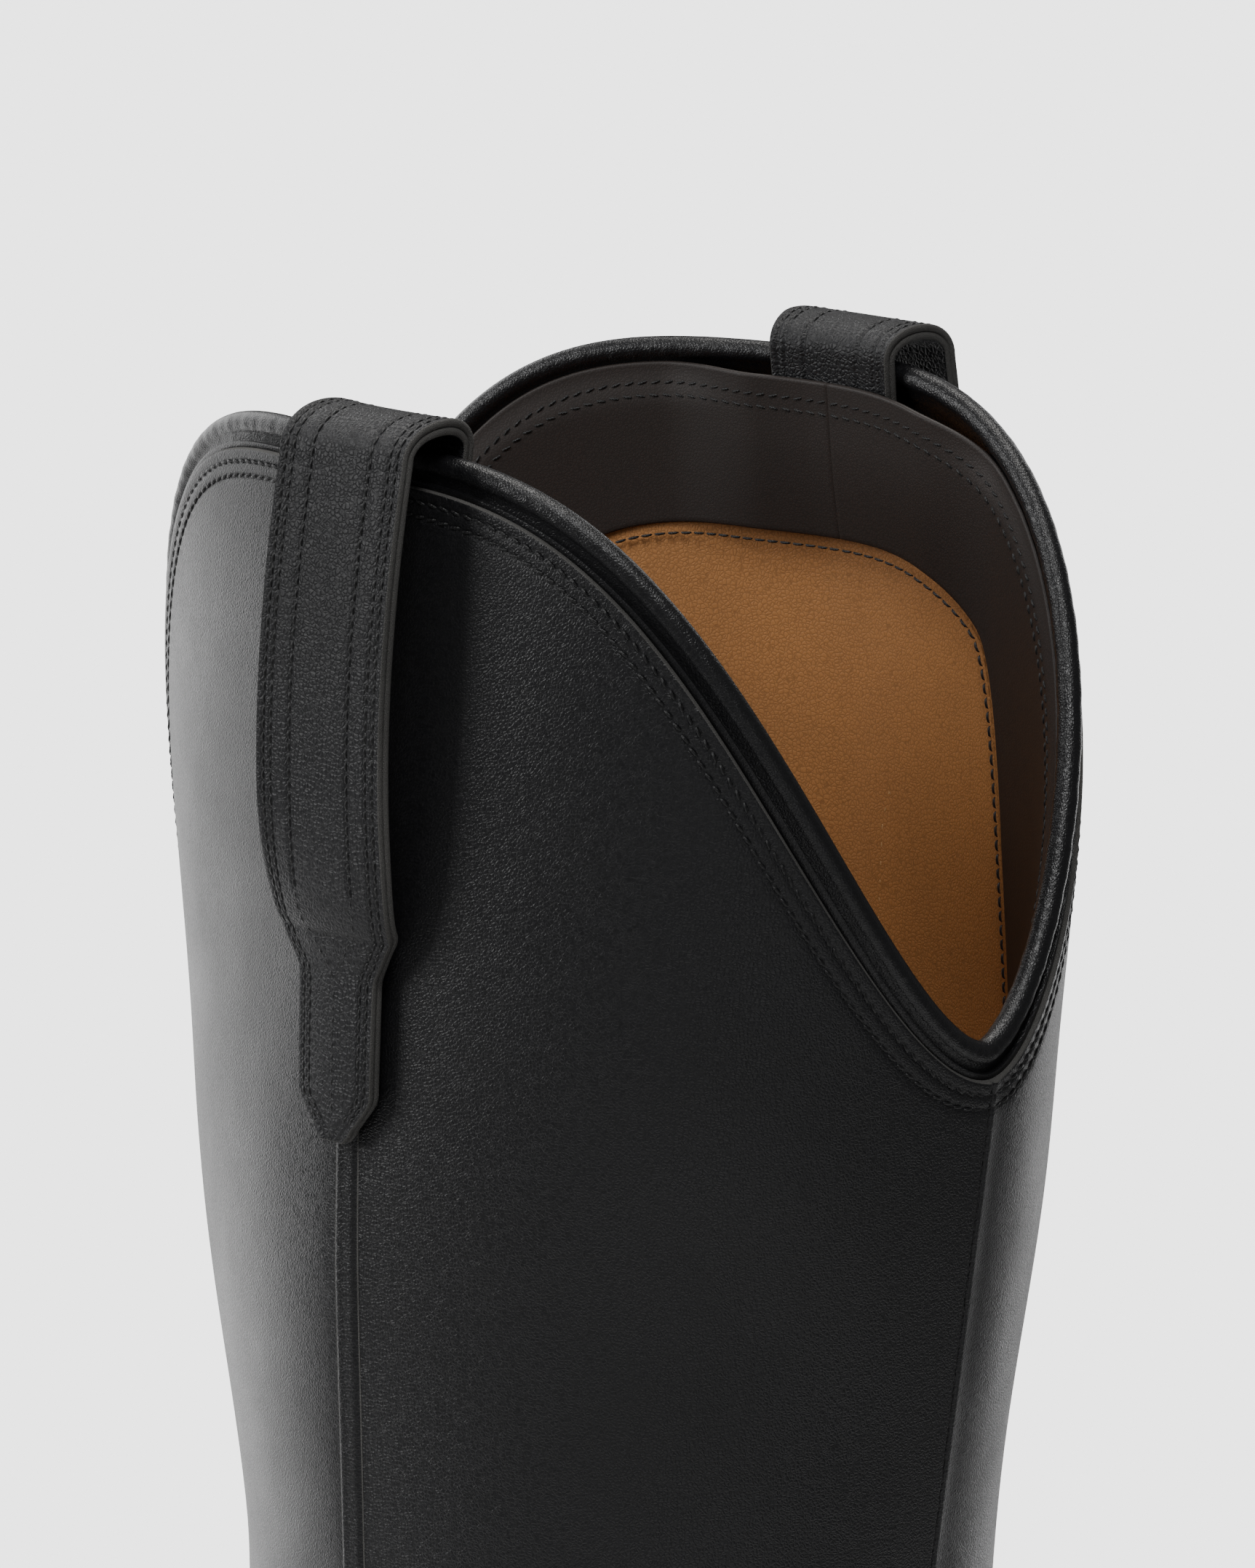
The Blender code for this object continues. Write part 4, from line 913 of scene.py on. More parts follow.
def twisted_thread():
    """Bonded polyester thread, black, three-ply twist: a dull satin line."""
    made, tree, surface_node = shader("bonded polyester thread", 0.5, sheen=0.1)
    if tree:
        spot = add(tree, "ShaderNodeTexCoord").outputs["Object"]
        ply = add(tree, "ShaderNodeTexWave", {"Vector": spot, "Scale": 1 / (1.3 * MM), "Distortion": 1.5})
        c = tuple(colours().thread)
        tree.links.new(mixed(tree, ply.outputs["Fac"], c, toned(c, 2.2)), surface_node.inputs["Base Color"])
        bump = add(tree, "ShaderNodeBump", {"Height": ply.outputs["Fac"], "Distance": 0.04 * MM})
        tree.links.new(bump.outputs["Normal"], surface_node.inputs["Normal"])
    return made


def tan_thread():
    """Undyed waxed thread of the strap's seam, seen through the lining."""
    c = tuple(colours().tan_thread)
    return grained("waxed undyed thread", c, toned(c, 0.8), 0.3 * MM, 0.03 * MM, 0.6)


def heel_rubber():
    """Vulcanised rubber, moulded with a fine matt texture."""
    c = tuple(colours().rubber)
    return grained("vulcanised heel rubber", c, toned(c, 1.3), 0.4 * MM, 0.05 * MM, 0.68)


def speckled(name, base, tone, size, roughness, metallic=0.0, relief=0.0):
    """Plain finish broken by fine specks, for the pieces that are mostly hidden."""
    made, tree, surface_node = shader(name, roughness, metallic=metallic)
    if tree:
        spot = add(tree, "ShaderNodeTexCoord").outputs["Object"]
        specks = add(tree, "ShaderNodeTexNoise", {"Vector": spot, "Scale": 1 / size, "Detail": 4.0})
        share = between(tree, specks.outputs["Fac"], 0.4, 0.6)
        tree.links.new(mixed(tree, share, base, tone), surface_node.inputs["Base Color"])
        bump = add(tree, "ShaderNodeBump", {"Height": specks.outputs["Fac"], "Distance": relief})
        tree.links.new(bump.outputs["Normal"], surface_node.inputs["Normal"])
    return made


def nail_brass():
    """Drawn brass wire, dulled by wear."""
    c = tuple(colours().brass)
    return speckled("worn brass wire", c, toned(c, 0.7), 0.6 * MM, 0.36, 1.0, 0.02 * MM)


def hidden_materials():
    """Bonded cork, pressed leather board and blued spring steel of the pieces inside."""
    cork, board, steel = (tuple(value) for value in (colours().cork, colours().board, colours().steel))
    return {
        "cork_filler": speckled("bonded cork granules", cork, toned(cork, 0.55), 1.8 * MM, 0.9, 0.0, 0.2 * MM),
        "toe_puff": speckled("pressed leather board", board, toned(board, 0.8), 0.8 * MM, 0.85, 0.0, 0.1 * MM),
        "heel_stiffener": speckled("pressed leather board", board, board, 0.8 * MM, 0.85),
        "shank": speckled("blued spring steel", steel, toned(steel, 0.7), 2.5 * MM, 0.35, 1.0, 0.01 * MM),
        "insole": speckled("natural shoulder leather", toned(board, 1.1), board, 1.1 * MM, 0.7, 0.0, 0.05 * MM),
    }


# ---------------------------------------------------------------- shaft

def edge_rows():
    """Distances of the first rows below a cut edge, close enough together for its stitch grooves."""
    first, second = sizes().row, sizes().row + sizes().rows
    around = np.array([-0.55, -0.3, 0.0, 0.3, 0.55]) * MM
    return np.concatenate([[0, 0.4 * MM], first + around, second + around, [second + 1.4 * MM, second + 3.2 * MM]])


def groove(distance):
    """Depth of the furrows that two rows of stitches pull into the leather."""
    rows = np.stack([sizes().row + 0 * distance, sizes().row + sizes().rows + 0 * distance])
    return FURROW * np.exp(-((distance - rows) / FURROW_WIDTH) ** 2).sum(0)


def panel(name, first, last, across, bottom, relief=None):
    """Shaft panel from its cut edge down to a line: rows at fixed distances under the edge, then even ones."""
    near = edge_rows()
    shares = spread(96)[1:]
    seed = np.zeros((len(near) + len(shares), len(across)))
    drops = seed + np.linspace(0, 1.2, len(seed))[:, None]
    for _ in range(4):
        turns = first(drops) + (last(drops) - first(drops)) * across[None, :]
        top = below(turns[:len(near)], CUT_EDGE + near[:, None])
        start = below(turns[len(near):], CUT_EDGE + near[-1])
        drops = np.concatenate([top, start + (bottom(turns[len(near):]) - start) * shares[:, None]])
    furrows = np.concatenate([groove(near)[:, None] + 0 * top, 0 * start])
    lift = relief(turns, drops) if relief else 0
    outer, _ = surface(turns, drops, furrows - lift)
    inner, _ = surface(turns, drops, LEATHER)
    return shell(name, outer, inner, [black_leather(), cut_edge()])


def lapped(line):
    """Line carried down under the overlay that covers it."""
    return lambda turns: line(turns) + OVERLAY_LAP / (CREST_HEIGHT - ANKLE_HEIGHT)


def back_ridge(turns, drops):
    """Raised closed seam down the back: both quarters swell beside it and roll in at it."""
    away = np.abs(np.abs(fold(turns)) - np.pi) / turn_step(np.pi + 0 * drops, drops, 1 * MM)
    return 0.55 * MM * np.exp(-(away / 1.5) ** 2) - 0.7 * MM * np.exp(-(away / 0.35) ** 2)


class BOOT_OT_shaft(bpy.types.Operator):
    """Front panel and back quarters of the shaft, with the double stitching under their cut edge"""
    bl_idname = "boot.shaft"
    bl_label = "Shaft"

    def execute(self, context):
        near = (0.0, 0.0015, 0.005)
        panel_front = panel("shaft_front_leather", seam_edge(-1, False, PANEL_ROOM), seam_edge(1, False, PANEL_ROOM),
                            spread(190, near, near), lapped(vamp_line))
        place(panel_front, "boot", "black_leather", "shaft_front")
        fine = (0.0, 0.0018, 0.0036, 0.0055, 0.0085, 0.012, 0.017, 0.024)
        for side, name in SIDES:
            quarter = panel("shaft_back_%s_leather" % name, seam_edge(side, True, PANEL_ROOM),
                            beside_back(side, QUARTER_ROOM), spread(96, near, fine), lapped(counter_line), back_ridge)
            place(quarter, "boot", "black_leather", "shaft_back_" + name)
        turns = round_turns(1440)
        rows = []
        for number, slant in ((0, -0.22), (1, 0.22)):
            distance = CUT_EDGE + sizes().row + number * sizes().rows
            path, normals = surface(turns, below(turns, distance), 0.08 * MM)
            rows.append(stitches(path, normals, slant=slant, closed=True))
        drops = np.linspace(below(np.array([np.pi]), 8 * MM)[0], counter_line(np.array([np.pi]))[0], 400)
        path, normals = surface(np.pi + 0 * drops, drops, 0.25 * MM)
        rows.append(stitches(path, normals, slant=1.2, pitch=2.0 * MM))
        place(thread("shaft_stitching", rows, twisted_thread()), "boot", "black_leather")
        return {"FINISHED"}


class BOOT_OT_side_welts(bpy.types.Operator):
    """Raised strips over the two side seams"""
    bl_idname = "boot.side_welts"
    bl_label = "Side welts"

    def execute(self, context):
        share = np.linspace(-1, 1, 15)
        profile = SIDE_WELT_RISE * (1 - share ** 6) * (0.72 + 0.28 * np.exp(-((share + 0.45) / 0.3) ** 2))
        drops = np.linspace(0, 1.995, 420)[:, None] + 0 * share
        for side, name in SIDES:
            top = below(np.array([side * SHAFT_SEAM]), CUT_EDGE - 1 * MM)[0]
            down = top + drops * (1.995 - top) / 1.995
            seam = seam_turn(down)
            turns = side * (seam + turn_step(seam, down, SIDE_WELT_WIDTH / 2) * share[None, :])
            proud = OVERLAY * ease((down - VAMP_SIDE + 0.03) / 0.03)
            outer, _ = surface(turns, down, -(profile[None, :] + 0.04 * MM) - proud)
            inner, _ = surface(turns, down, -0.02 * MM - proud * 0.8)
            made = shell("side_welt_%s_leather" % name, outer, inner, [black_leather(), cut_edge()])
            place(made, "boot", "black_leather", "side_welt_" + name)
        return {"FINISHED"}


class BOOT_OT_piping(bpy.types.Operator):
    """Rolled bead on the top edge and the flange that carries it"""
    bl_idname = "boot.piping"
    bl_label = "Top piping"

    def execute(self, context):
        radius = sizes().bead
        turns = round_turns(900)
        edge, _ = surface(turns, 0 * turns, BEAD_DEPTH)
        normals = unit(outward(turns, 0 * turns + 0.02))
        along = unit(np.roll(edge, -1, 0) - np.roll(edge, 1, 0))
        down = unit(np.cross(normals, along))
        down = down * np.sign(-down[:, 2:3])
        angles = np.radians(np.linspace(38, 322, 27))
        wrinkle = 0.03 * MM * np.sin(turns * 190) + 0.03 * MM * np.sin(turns * 83 + 1.0)
        loops = [edge + radius * (down * math.cos(a) + normals * math.sin(a))
                 + normals * (wrinkle * math.sin(a))[:, None] for a in angles]
        neck = 1.45 * radius
        outer = [(FLANGE_END, 0.75 * MM), (CUT_EDGE + 0.5 * MM, 0.85 * MM), (CUT_EDGE - 0.1 * MM, FLANGE_OUT),
                 (1.9 * MM + radius * 0.35, FLANGE_OUT), (neck, FLANGE_NECK)]
        inner = [(neck, -FLANGE_NECK), (2.9 * MM, -FLANGE_IN), (FLANGE_END, -FLANGE_IN)]
        outer_band, inner_band = ([edge + down * reach + normals * out for reach, out in flange]
                                  for flange in (outer, inner))
        made = ring("top_piping_leather", np.stack(outer_band + loops + inner_band, 1), [bead_leather()])
        place(made, "boot", "black_leather", "top_piping")
        return {"FINISHED"}


# ---------------------------------------------------------------- inside of the shaft

def strap_half_turn():
    """Half the turn that a strap covers round the shaft."""
    return math.asin((STRAP_WIDTH / 2 / TOP_FRONT) ** (ROUNDNESS / 2))


def facing_depth(turns, drops):
    """Depth of the facing: its top edge is tucked towards the shaft, and it bulges inwards over the straps' inner
    ends."""
    depth = drops * (CREST_HEIGHT - top_depth(turns) - ANKLE_HEIGHT)
    reach = np.abs(np.abs(fold(turns)) - SHAFT_SEAM)
    beside = 1 - ease((reach - strap_half_turn() - STRAP_MARGIN) / STRAP_FADE)
    bulge = beside * (1 - ease((depth - STRAP_END + 2 * MM) / (2 * FACING_EDGE - STRAP_END)))
    tucked = 1 - ease((depth - FACING_TOP) / (6 * MM))
    return FACING_OUTER - FACING_TUCK * tucked * (1 - beside) + FACING_BULGE * bulge


def facing_edge(turns):
    """Drop of the facing's lower edge: an even band under the top edge, and a deep panel behind the back dip."""
    band = below(turns, FACING_EDGE)
    away = np.pi - np.abs(fold(turns))
    deep = drop_below_top(turns, FACING_PANEL - top_depth(turns))
    return band + np.maximum(deep - band, 0) * ease((PANEL_REACH + PANEL_SIDE / 2 - away) / PANEL_SIDE)


class BOOT_OT_facing(bpy.types.Operator):
    """Black facing behind the top edge, in a front and a back piece, with its stitching"""
    bl_idname = "boot.facing"
    bl_label = "Facing"

    def execute(self, context):
        near = np.array([0, 0.3, 0.8, 1.4, 2.0, 2.6, 3.2, 3.8, 4.4, 5.0, 5.8, 7.0]) * MM
        shares = np.linspace(0, 1, 30)[1:]
        rows = []
        for name, start, end in (("front", -SHAFT_SEAM, SHAFT_SEAM), ("back", SHAFT_SEAM, 2 * np.pi - SHAFT_SEAM)):
            gap = FACING_JOINT / TOP_FRONT
            turns = np.linspace(start + gap, end - gap, 261)[None, :]
            top = below(turns[0], FACING_TOP)
            low = facing_edge(turns[0])
            first = below(turns[0], FACING_TOP + near[-1])
            drops = np.concatenate([below(turns + 0 * near[:, None], FACING_TOP + near[:, None]),
                                    first + (low - first) * shares[:, None]])
            turns = turns + 0 * drops
            depth = facing_depth(turns, drops)
            outer, _ = surface(turns, drops, depth)
            inner, normals = surface(turns, drops, depth + FACING)
            made = shell("facing_%s_leather" % name, outer, inner, [facing_leather()])
            place(made, "boot", "facing_leather", "facing_" + name)
            for distance, slant in FACING_ROWS:
                place_drop = below(turns[0], FACING_TOP + distance)
                path, up = surface(turns[0], place_drop, facing_depth(turns[0], place_drop) + FACING)
                rows.append(stitches(path, -up, slant=slant))
            path, up = inner[-1], -normals[-1]
            rows.append(stitches(offset_path(path, up, FACING_HEM_ROW), up))
        place(thread("facing_stitching", rows, twisted_thread()), "boot", "facing_leather")
        return {"FINISHED"}


class BOOT_OT_lining(bpy.types.Operator):
    """Tan lining of shaft and foot, with the straps' stitches showing through"""
    bl_idname = "boot.lining"
    bl_label = "Lining"

    def execute(self, context):
        turns = round_turns(260)
        shares = np.linspace(0, 1, 150)[:, None]
        top = below(turns, LINING_START)
        foot = drop_at_height(fold(turns), INSOLE_TOP - FEATHER + GAP)
        drops = top + (foot - top) * shares
        spread_turns = turns[None, :] + 0 * drops
        z = surface(spread_turns, drops, 0)[0][..., 2]
        crease = 0.35 * MM * np.sin(9 * spread_turns + z / (60 * MM)) * ease((z - 100 * MM) / (100 * MM))
        crease = crease * np.sin(z / (38 * MM) + 2 * spread_turns)
        outer, _ = surface(spread_turns, drops, LINING_TOP)
        inner, _ = surface(spread_turns, drops, LINING_TOP + LINING + np.abs(crease))
        loops = np.concatenate([outer, inner[::-1]]).transpose(1, 0, 2)
        made = ring("lining_leather", loops, [lining_leather()])
        place(made, "boot", "lining_leather", "lining_front", "lining_back", "vamp_lining", "heel_lining")
        rows = []
        high = np.linspace(STRAP_STEP - 4 * MM, STRAP_TIP - 6 * MM, 60)
        for side in (1, -1):
            for way in (1, -1):
                across = 6 * MM + way * 1.1 * MM * ease((high - high[0]) / (7 * MM)) + 0.06 * (high[0] - high)
                turns = side * (SHAFT_SEAM + across / CALF_HALF_WIDTH)
                path, up = surface(turns, drop_below_top(turns, high), LINING_TOP + LINING + 0.1 * MM)
                rows.append(stitches(path, -up, pitch=2.6 * MM))
        place(thread("lining_stitching", rows, tan_thread()), "boot", "lining_leather")
        return {"FINISHED"}


# ---------------------------------------------------------------- pull straps

def strap_run():
    """The strap from its tip, up the tail and the free leg, over the bead and down behind the facing, as places at
    even distances: out from the shaft, height above the crest, how flat it spans, and width."""
    radius_in = BEAD_DEPTH + sizes().bead + GAP + STRAP / 2
    radius = (STRAP_STANDOFF + radius_in) / 2
    top = sizes().bead + STRAP_RISE + STRAP / 2
    steps = np.linspace(0, 1, 80)[:-1]
    shoulder = top - BEND_HEIGHT * radius
    leg_high = -STRAP_STEP + (STRAP_STEP + shoulder) * steps
    bow = np.sin(np.pi * steps ** BOW_SKEW / BOW_REACH) ** 0.8
    leg_out = SIDE_WELT_RISE + STRAP_CLEAR + STRAP / 2 + STRAP_STANDOFF * bow
    sweep = np.linspace(0, np.pi, 60)
    arc_out = (leg_out[-1] - radius_in) / 2 + (leg_out[-1] + radius_in) / 2 * np.cos(sweep)
    arc_high = shoulder + BEND_HEIGHT * radius * np.sin(sweep)
    end_high = np.linspace(shoulder, -STRAP_END, 20)[1:]
    tail_high = np.linspace(-STRAP_TIP, -STRAP_STEP - 1.2 * MM, 40)
    tail_out = SIDE_WELT_RISE + 0.1 * MM + STRAP / 2 + 0.9 * MM * ease((tail_high + STRAP_STEP + 6 * MM) / (6 * MM))
    out = np.concatenate([tail_out, leg_out, arc_out, 0 * end_high - radius_in])
    high = np.concatenate([tail_high, leg_high, arc_high, end_high])
    flat = np.concatenate([0 * tail_out, ease(steps / 0.3), ease((sweep[::-1] - 1.2) / 1.0), 0 * end_high])
    reach = np.concatenate([[0], np.cumsum(np.hypot(np.diff(out), np.diff(high)))])
    even = np.concatenate([[0, 0.4 * MM, 1 * MM], np.linspace(2 * MM, reach[-1] - 1 * MM, 200), [reach[-1]]])
    out, high, flat = (np.interp(even, reach, values) for values in (out, high, flat))
    width = np.interp(even, [0, STRAP_POINT, STRAP_TIP - STRAP_STEP - STRAP_NARROWING, STRAP_TIP - STRAP_STEP],
                      [STRAP_TAIL_WIDTH * STRAP_BLUNT, STRAP_TAIL_WIDTH, STRAP_TAIL_WIDTH, STRAP_WIDTH])
    smooth = np.ones(3) / 3
    width[2:-2] = np.convolve(width, smooth, "same")[2:-2]
    return out, high, flat, width


def strap_point(side, across, out, high, flat):
    """Point of a strap: across its width, out from the shaft and above the crest. flat is 0 where it follows the
    shaft's round and 1 where it spans flat."""
    along = (SEAM_SET_BACK - across) / TOP_FRONT
    turn = side * (np.pi / 2 + np.sign(along) * np.arcsin(np.abs(along) ** (ROUNDNESS / 2)))
    z = CREST_HEIGHT + high
    base = column_point(turn, z)
    step = 0.02
    slope = column_point(turn + step, z) - column_point(turn - step, z)
    normal = unit(np.stack([slope[..., 1], -slope[..., 0], 0 * slope[..., 0]], -1))
    bent = base + normal * out[..., None]
    middle = column_point(side * SHAFT_SEAM + 0 * turn, z)
    straight = middle + np.stack([across, side * out, 0 * out], -1)
    return bent + (straight - bent) * flat[..., None]


def strap_face(side, across, run, way):
    """Grid of one face of the strap: its middle line moved by half the thickness, across square to its width."""
    out, high, flat, _ = run
    slope = unit(np.stack([np.gradient(out), np.gradient(high)], -1))
    out = (out + way * slope[:, 1])[:, None] + 0 * across
    high = (high - way * slope[:, 0])[:, None] + 0 * across
    return strap_point(side, across, out, high, flat[:, None] + 0 * across)


def strap_rows(side, run):
    """Stitch rows on the strap's outer face: two along each edge, one inner row on each side that bends in to a
    single row down the tail's middle."""
    _, high, _, width = run
    rows = []
    tail = -STRAP_STEP - 8 * MM
    last = 176
    for way in (1, -1):
        for inwards in STRAP_ROWS:
            rows.append((slice(4, last), way * np.maximum(width / 2 - inwards, 0.5 * MM)))
        inner = way * STRAP_INNER_ROW * ease((high - tail) / (11 * MM))
        rows.append((slice(int(np.argmax(high > tail + 0.8 * MM)), last), inner))
    rows.append((slice(6, int(np.argmax(high > tail))), 0 * width))
    made = []
    for part, across in rows:
        path = strap_face(side, across[:, None], run, STRAP / 2 - 0.13 * MM)[part, 0]
        under = strap_face(side, across[:, None], run, -STRAP / 2)[part, 0]
        made.append(stitches(path, path - under, pitch=STRAP_PITCH))
    return made


def strap_furrows(across, width, high):
    """Depth of the furrows along the strap's edge rows and, on its leg, along its inner rows."""
    away = width / 2 - np.abs(across)
    edge = sum(np.exp(-((away - row) / (0.3 * MM)) ** 2) for row in STRAP_ROWS)
    inner = np.exp(-((np.abs(across) - STRAP_INNER_ROW) / (0.35 * MM)) ** 2)
    return STRAP_FURROW * (edge + inner * (high > 6 * MM - STRAP_STEP))


class BOOT_OT_straps(bpy.types.Operator):
    """Doubled leather pull straps over the top edge, with their stitching"""
    bl_idname = "boot.straps"
    bl_label = "Pull straps"

    def execute(self, context):
        run = strap_run()
        _, high, _, width = run
        across = np.linspace(-1, 1, 105)[None, :] * width[:, None] / 2
        furrow = strap_furrows(across, width[:, None], high[:, None])
        for side, name in SIDES:
            outer = strap_face(side, across, run, STRAP / 2)
            inner = strap_face(side, across, run, -STRAP / 2)
            outer = outer - unit(outer - inner) * furrow[..., None]
            made = shell("pull_strap_%s_leather" % name, outer, inner, [strap_leather(), cut_edge()], LAYERED_RIM)
            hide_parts("pull_strap_%s_loop" % name, "pull_strap_%s_tail" % name)
            sewn = thread("pull_strap_%s_stitching" % name, strap_rows(side, run), twisted_thread())
            for piece in (made, sewn):
                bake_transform(piece)
        return {"FINISHED"}


# ---------------------------------------------------------------- foot

def overlay(name, first, last, across, line, relief=0.0):
    """Foot leather that lies on the shaft's lower edge: from its top line down to the welt."""
    near = edge_rows() / OVERLAY_RUN
    down = np.concatenate([near, np.linspace(near[-1] * 1.3, 1, 110)])
    turns, drops = grid(first, last, across, line, lambda values: 2.06 + 0 * values, down)
    furrows = groove(down * OVERLAY_RUN)[:, None] * (down < 0.2)[:, None]
    tuck = 0.9 * MM * ease((drops - 1.93) / 0.1)
    outer, _ = surface(turns, drops, furrows + tuck - OVERLAY)
    inner, _ = surface(turns, drops, 0.0)
    return shell(name, outer, inner, [black_leather(), cut_edge()]), turns, drops


class BOOT_OT_foot(bpy.types.Operator):
    """Vamp and heel counter cover, lapped over the shaft and double stitched"""
    bl_idname = "boot.foot"
    bl_label = "Vamp and counter"

    def execute(self, context):
        near = (0.0, 0.001, 0.003)
        room = SIDE_WELT_WIDTH / 2 + 0.1 * MM
        vamp, turns, drops = overlay("vamp_leather", seam_edge(-1, False, room), seam_edge(1, False, room),
                                     spread(220, near, near), vamp_line)
        place(vamp, "boot", "black_leather", "vamp")
        made, back_turns, back_drops = overlay("heel_counter_leather", seam_edge(1, True, room),
                                               past_back(seam_edge(-1, True, room)), spread(150, near, near),
                                               counter_line)
        place(made, "boot", "black_leather", "heel_counter_cover")
        rows = []
        for top_turns, top_drops in ((turns[0], drops[0]), (back_turns[0], back_drops[0])):
            path, up = surface(top_turns, top_drops, -OVERLAY - 0.02 * MM)
            for number, slant in ((0, 0.2), (1, -0.2)):
                distance = sizes().row + number * sizes().rows
                rows.append(stitches(offset_path(path, up, -distance)[4:-4], up[4:-4], slant=slant))
        place(thread("foot_stitching", rows, twisted_thread()), "boot", "black_leather")
        return {"FINISHED"}


# ---------------------------------------------------------------- sole and heel

def turn_at(x):
    """Turn at which the feather edge passes a place along the foot."""
    middle, half = (HEEL_BACK + TOE_TIP) / 2, (TOE_TIP - HEEL_BACK) / 2
    return math.acos(max(-1.0, min(1.0, (x - middle) / half)))


def extension(x):
    """How far the sole's edge stands out beyond the upper."""
    return HEEL_EXTENSION + (WELT_EXTENSION - HEEL_EXTENSION) * ease((x - HEEL_BREAST) / (50 * MM))


def outline(turns, distance):
    """Plan points of the feather edge moved inwards by a distance."""
    return inset(skin(turns, 0 * turns + 2.0), np.asarray(distance)[..., None] + 0 * turns[..., None])


def strip_distance(turns, share):
    """Distance in from the feather edge of a share of the way from the sole's edge, at 0, to the seat ring, at 1."""
    out = extension(skin(turns, 0 * turns + 2.0)[:, 0])
    return -out + (out + SEAT_RING) * share


def plate(name, distance, low, high, bulge, materials):
    """Closed plate that follows the sole: rings from the foot's middle line out to the edge, round the edge and back
    to the middle line on the other face."""
    turns = round_turns(360)
    edge = outline(turns, distance(turns))
    middle = middle_line(edge[:, 0])
    shares = 1 - np.linspace(1, 0, 16) ** 1.5
    lower, upper = ([on_sole(middle + (edge - middle) * share, level) for share in shares]
                    for level in (low, high))
    rim = []
    for angle in np.radians(np.linspace(-75, 75, 7)):
        plan = outline(turns, distance(turns) - bulge * math.cos(angle))
        rim.append(on_sole(plan, (low + high) / 2 + (high - low) / 2 * math.sin(angle)))
    points = np.stack(lower + rim + upper[::-1])
    return sew(put(name, points, cells(*points.shape[:2], False, True), materials))


def band(name, turns, low, high, materials, trough=0.0):
    """Flat strip round the feather edge, from the sole's edge to the seat ring, with a stitch trough on top."""
    shares = np.array([0, 0.06, 0.13, 0.18, 0.22, 0.26, 0.32, 0.42, 0.6, 0.8, 1.0])
    faces = []
    for level, depth in ((high, trough), (low, 0.0)):
        sinks = depth * np.exp(-((shares - TROUGH_PLACE) / 0.05) ** 2)
        faces.append(np.stack([on_sole(outline(turns, strip_distance(turns, share)), level - sink)
                               for share, sink in zip(shares, sinks)]))
    rim = ((0.3 * MM, 0.15), (0.42 * MM, 0.4), (0.42 * MM, 0.6), (0.3 * MM, 0.85))
    return shell(name, faces[0], faces[1], materials, rim)


class BOOT_OT_sole(bpy.types.Operator):
    """Outsole, stitched welt, heel rand and sock liner"""
    bl_idname = "boot.sole"
    bl_label = "Sole"

    def execute(self, context):
        def edge(turns):
            return strip_distance(turns, 0)

        def inside(turns):
            return LINING_TOP + LINING + 0.6 * MM + 0 * turns

        place(plate("outsole_leather", edge, 0.0, OUTSOLE, 0.45 * MM, [sole_leather()]), "boot", "sole_leather",
              "outsole")
        sock_low = INSOLE_TOP + CEMENT
        place(plate("sock_liner_leather", inside, sock_low, sock_low + SOCK, 0.3 * MM, [lining_leather()]), "boot",
              "lining_leather", "sock_liner")
        low, high = OUTSOLE + CEMENT * 0.4, OUTSOLE + CEMENT + WELT
        joint = turn_at(HEEL_BREAST)
        gap = GAP / (TOE_TIP - HEEL_BACK)
        front = np.linspace(-joint + gap, joint - gap, 420)
        back = np.linspace(joint + gap, 2 * np.pi - joint - gap, 150)
        place(band("welt_leather", front, low, high, [sole_leather()], 0.5 * MM), "boot", "sole_leather", "welt")
        place(band("heel_rand_leather", back, low, high, [sole_leather()]), "boot", "sole_leather", "heel_rand")
        path = on_sole(outline(front, strip_distance(front, TROUGH_PLACE)), high - 0.35 * MM)
        up = np.array([0.0, 0.0, 1.0]) + 0 * path
        made = thread("welt_stitching", [stitches(path[3:-3], up[3:-3], pitch=3.2 * MM)], twisted_thread())
        place(made, "boot", "sole_leather")
        return {"FINISHED"}


def heel_shape(plan, z):
    """Heel outline drawn in towards the floor."""
    scale = 1 - HEEL_TAPER * np.clip(1 - z / HEEL_HEIGHT, 0, 1) ** 0.8
    return np.stack([plan[:, 0] * scale, plan[:, 1] * scale, 0 * plan[:, 0] + z], -1)


def heel_outline():
    """Plan of the heel: the sole's edge round the back, and a slightly hollow breast across the front."""
    joint = turn_at(HEEL_BREAST)
    turns = np.linspace(joint, 2 * np.pi - joint, 161)
    back = outline(turns, -extension(0 * turns))
    share = np.linspace(0, 1, 42)[1:-1, None]
    breast = back[-1] + (back[0] - back[-1]) * share
    breast[:, 0] -= 1.6 * MM * np.sin(np.pi * share[:, 0])
    return np.concatenate([back, breast])


def lift(name, plan, low, high, bulge, materials):
    """One layer of the heel: rings from its middle out to the edge, round the edge, and back to the middle."""
    centre = np.array([-4 * MM, 0.0])
    shares = np.linspace(0, 1, 9)[:-1]
    lower, upper = ([heel_shape(centre + (plan - centre) * share, z) for share in shares] for z in (low, high))
    rim = []
    for angle in np.radians(np.linspace(-80, 80, 7)):
        out = unit(plan - centre) * bulge * (math.cos(angle) - 1)
        rim.append(heel_shape(plan + out, (low + high) / 2 + (high - low) / 2 * math.sin(angle)))
    points = np.stack(lower + rim + upper[::-1])
    return sew(put(name, points, cells(*points.shape[:2], False, True), materials))


# A nail's head and shank: radius as a share of the nail's, and height in millimetres, from its tip inwards
NAIL_PROFILE = ((0.0, -0.35), (0.5, -0.33), (0.85, -0.25), (1.05, -0.1), (1.12, 0.1), (1.0, 0.3), (1.0, 10.0),
                (0.0, 10.0))


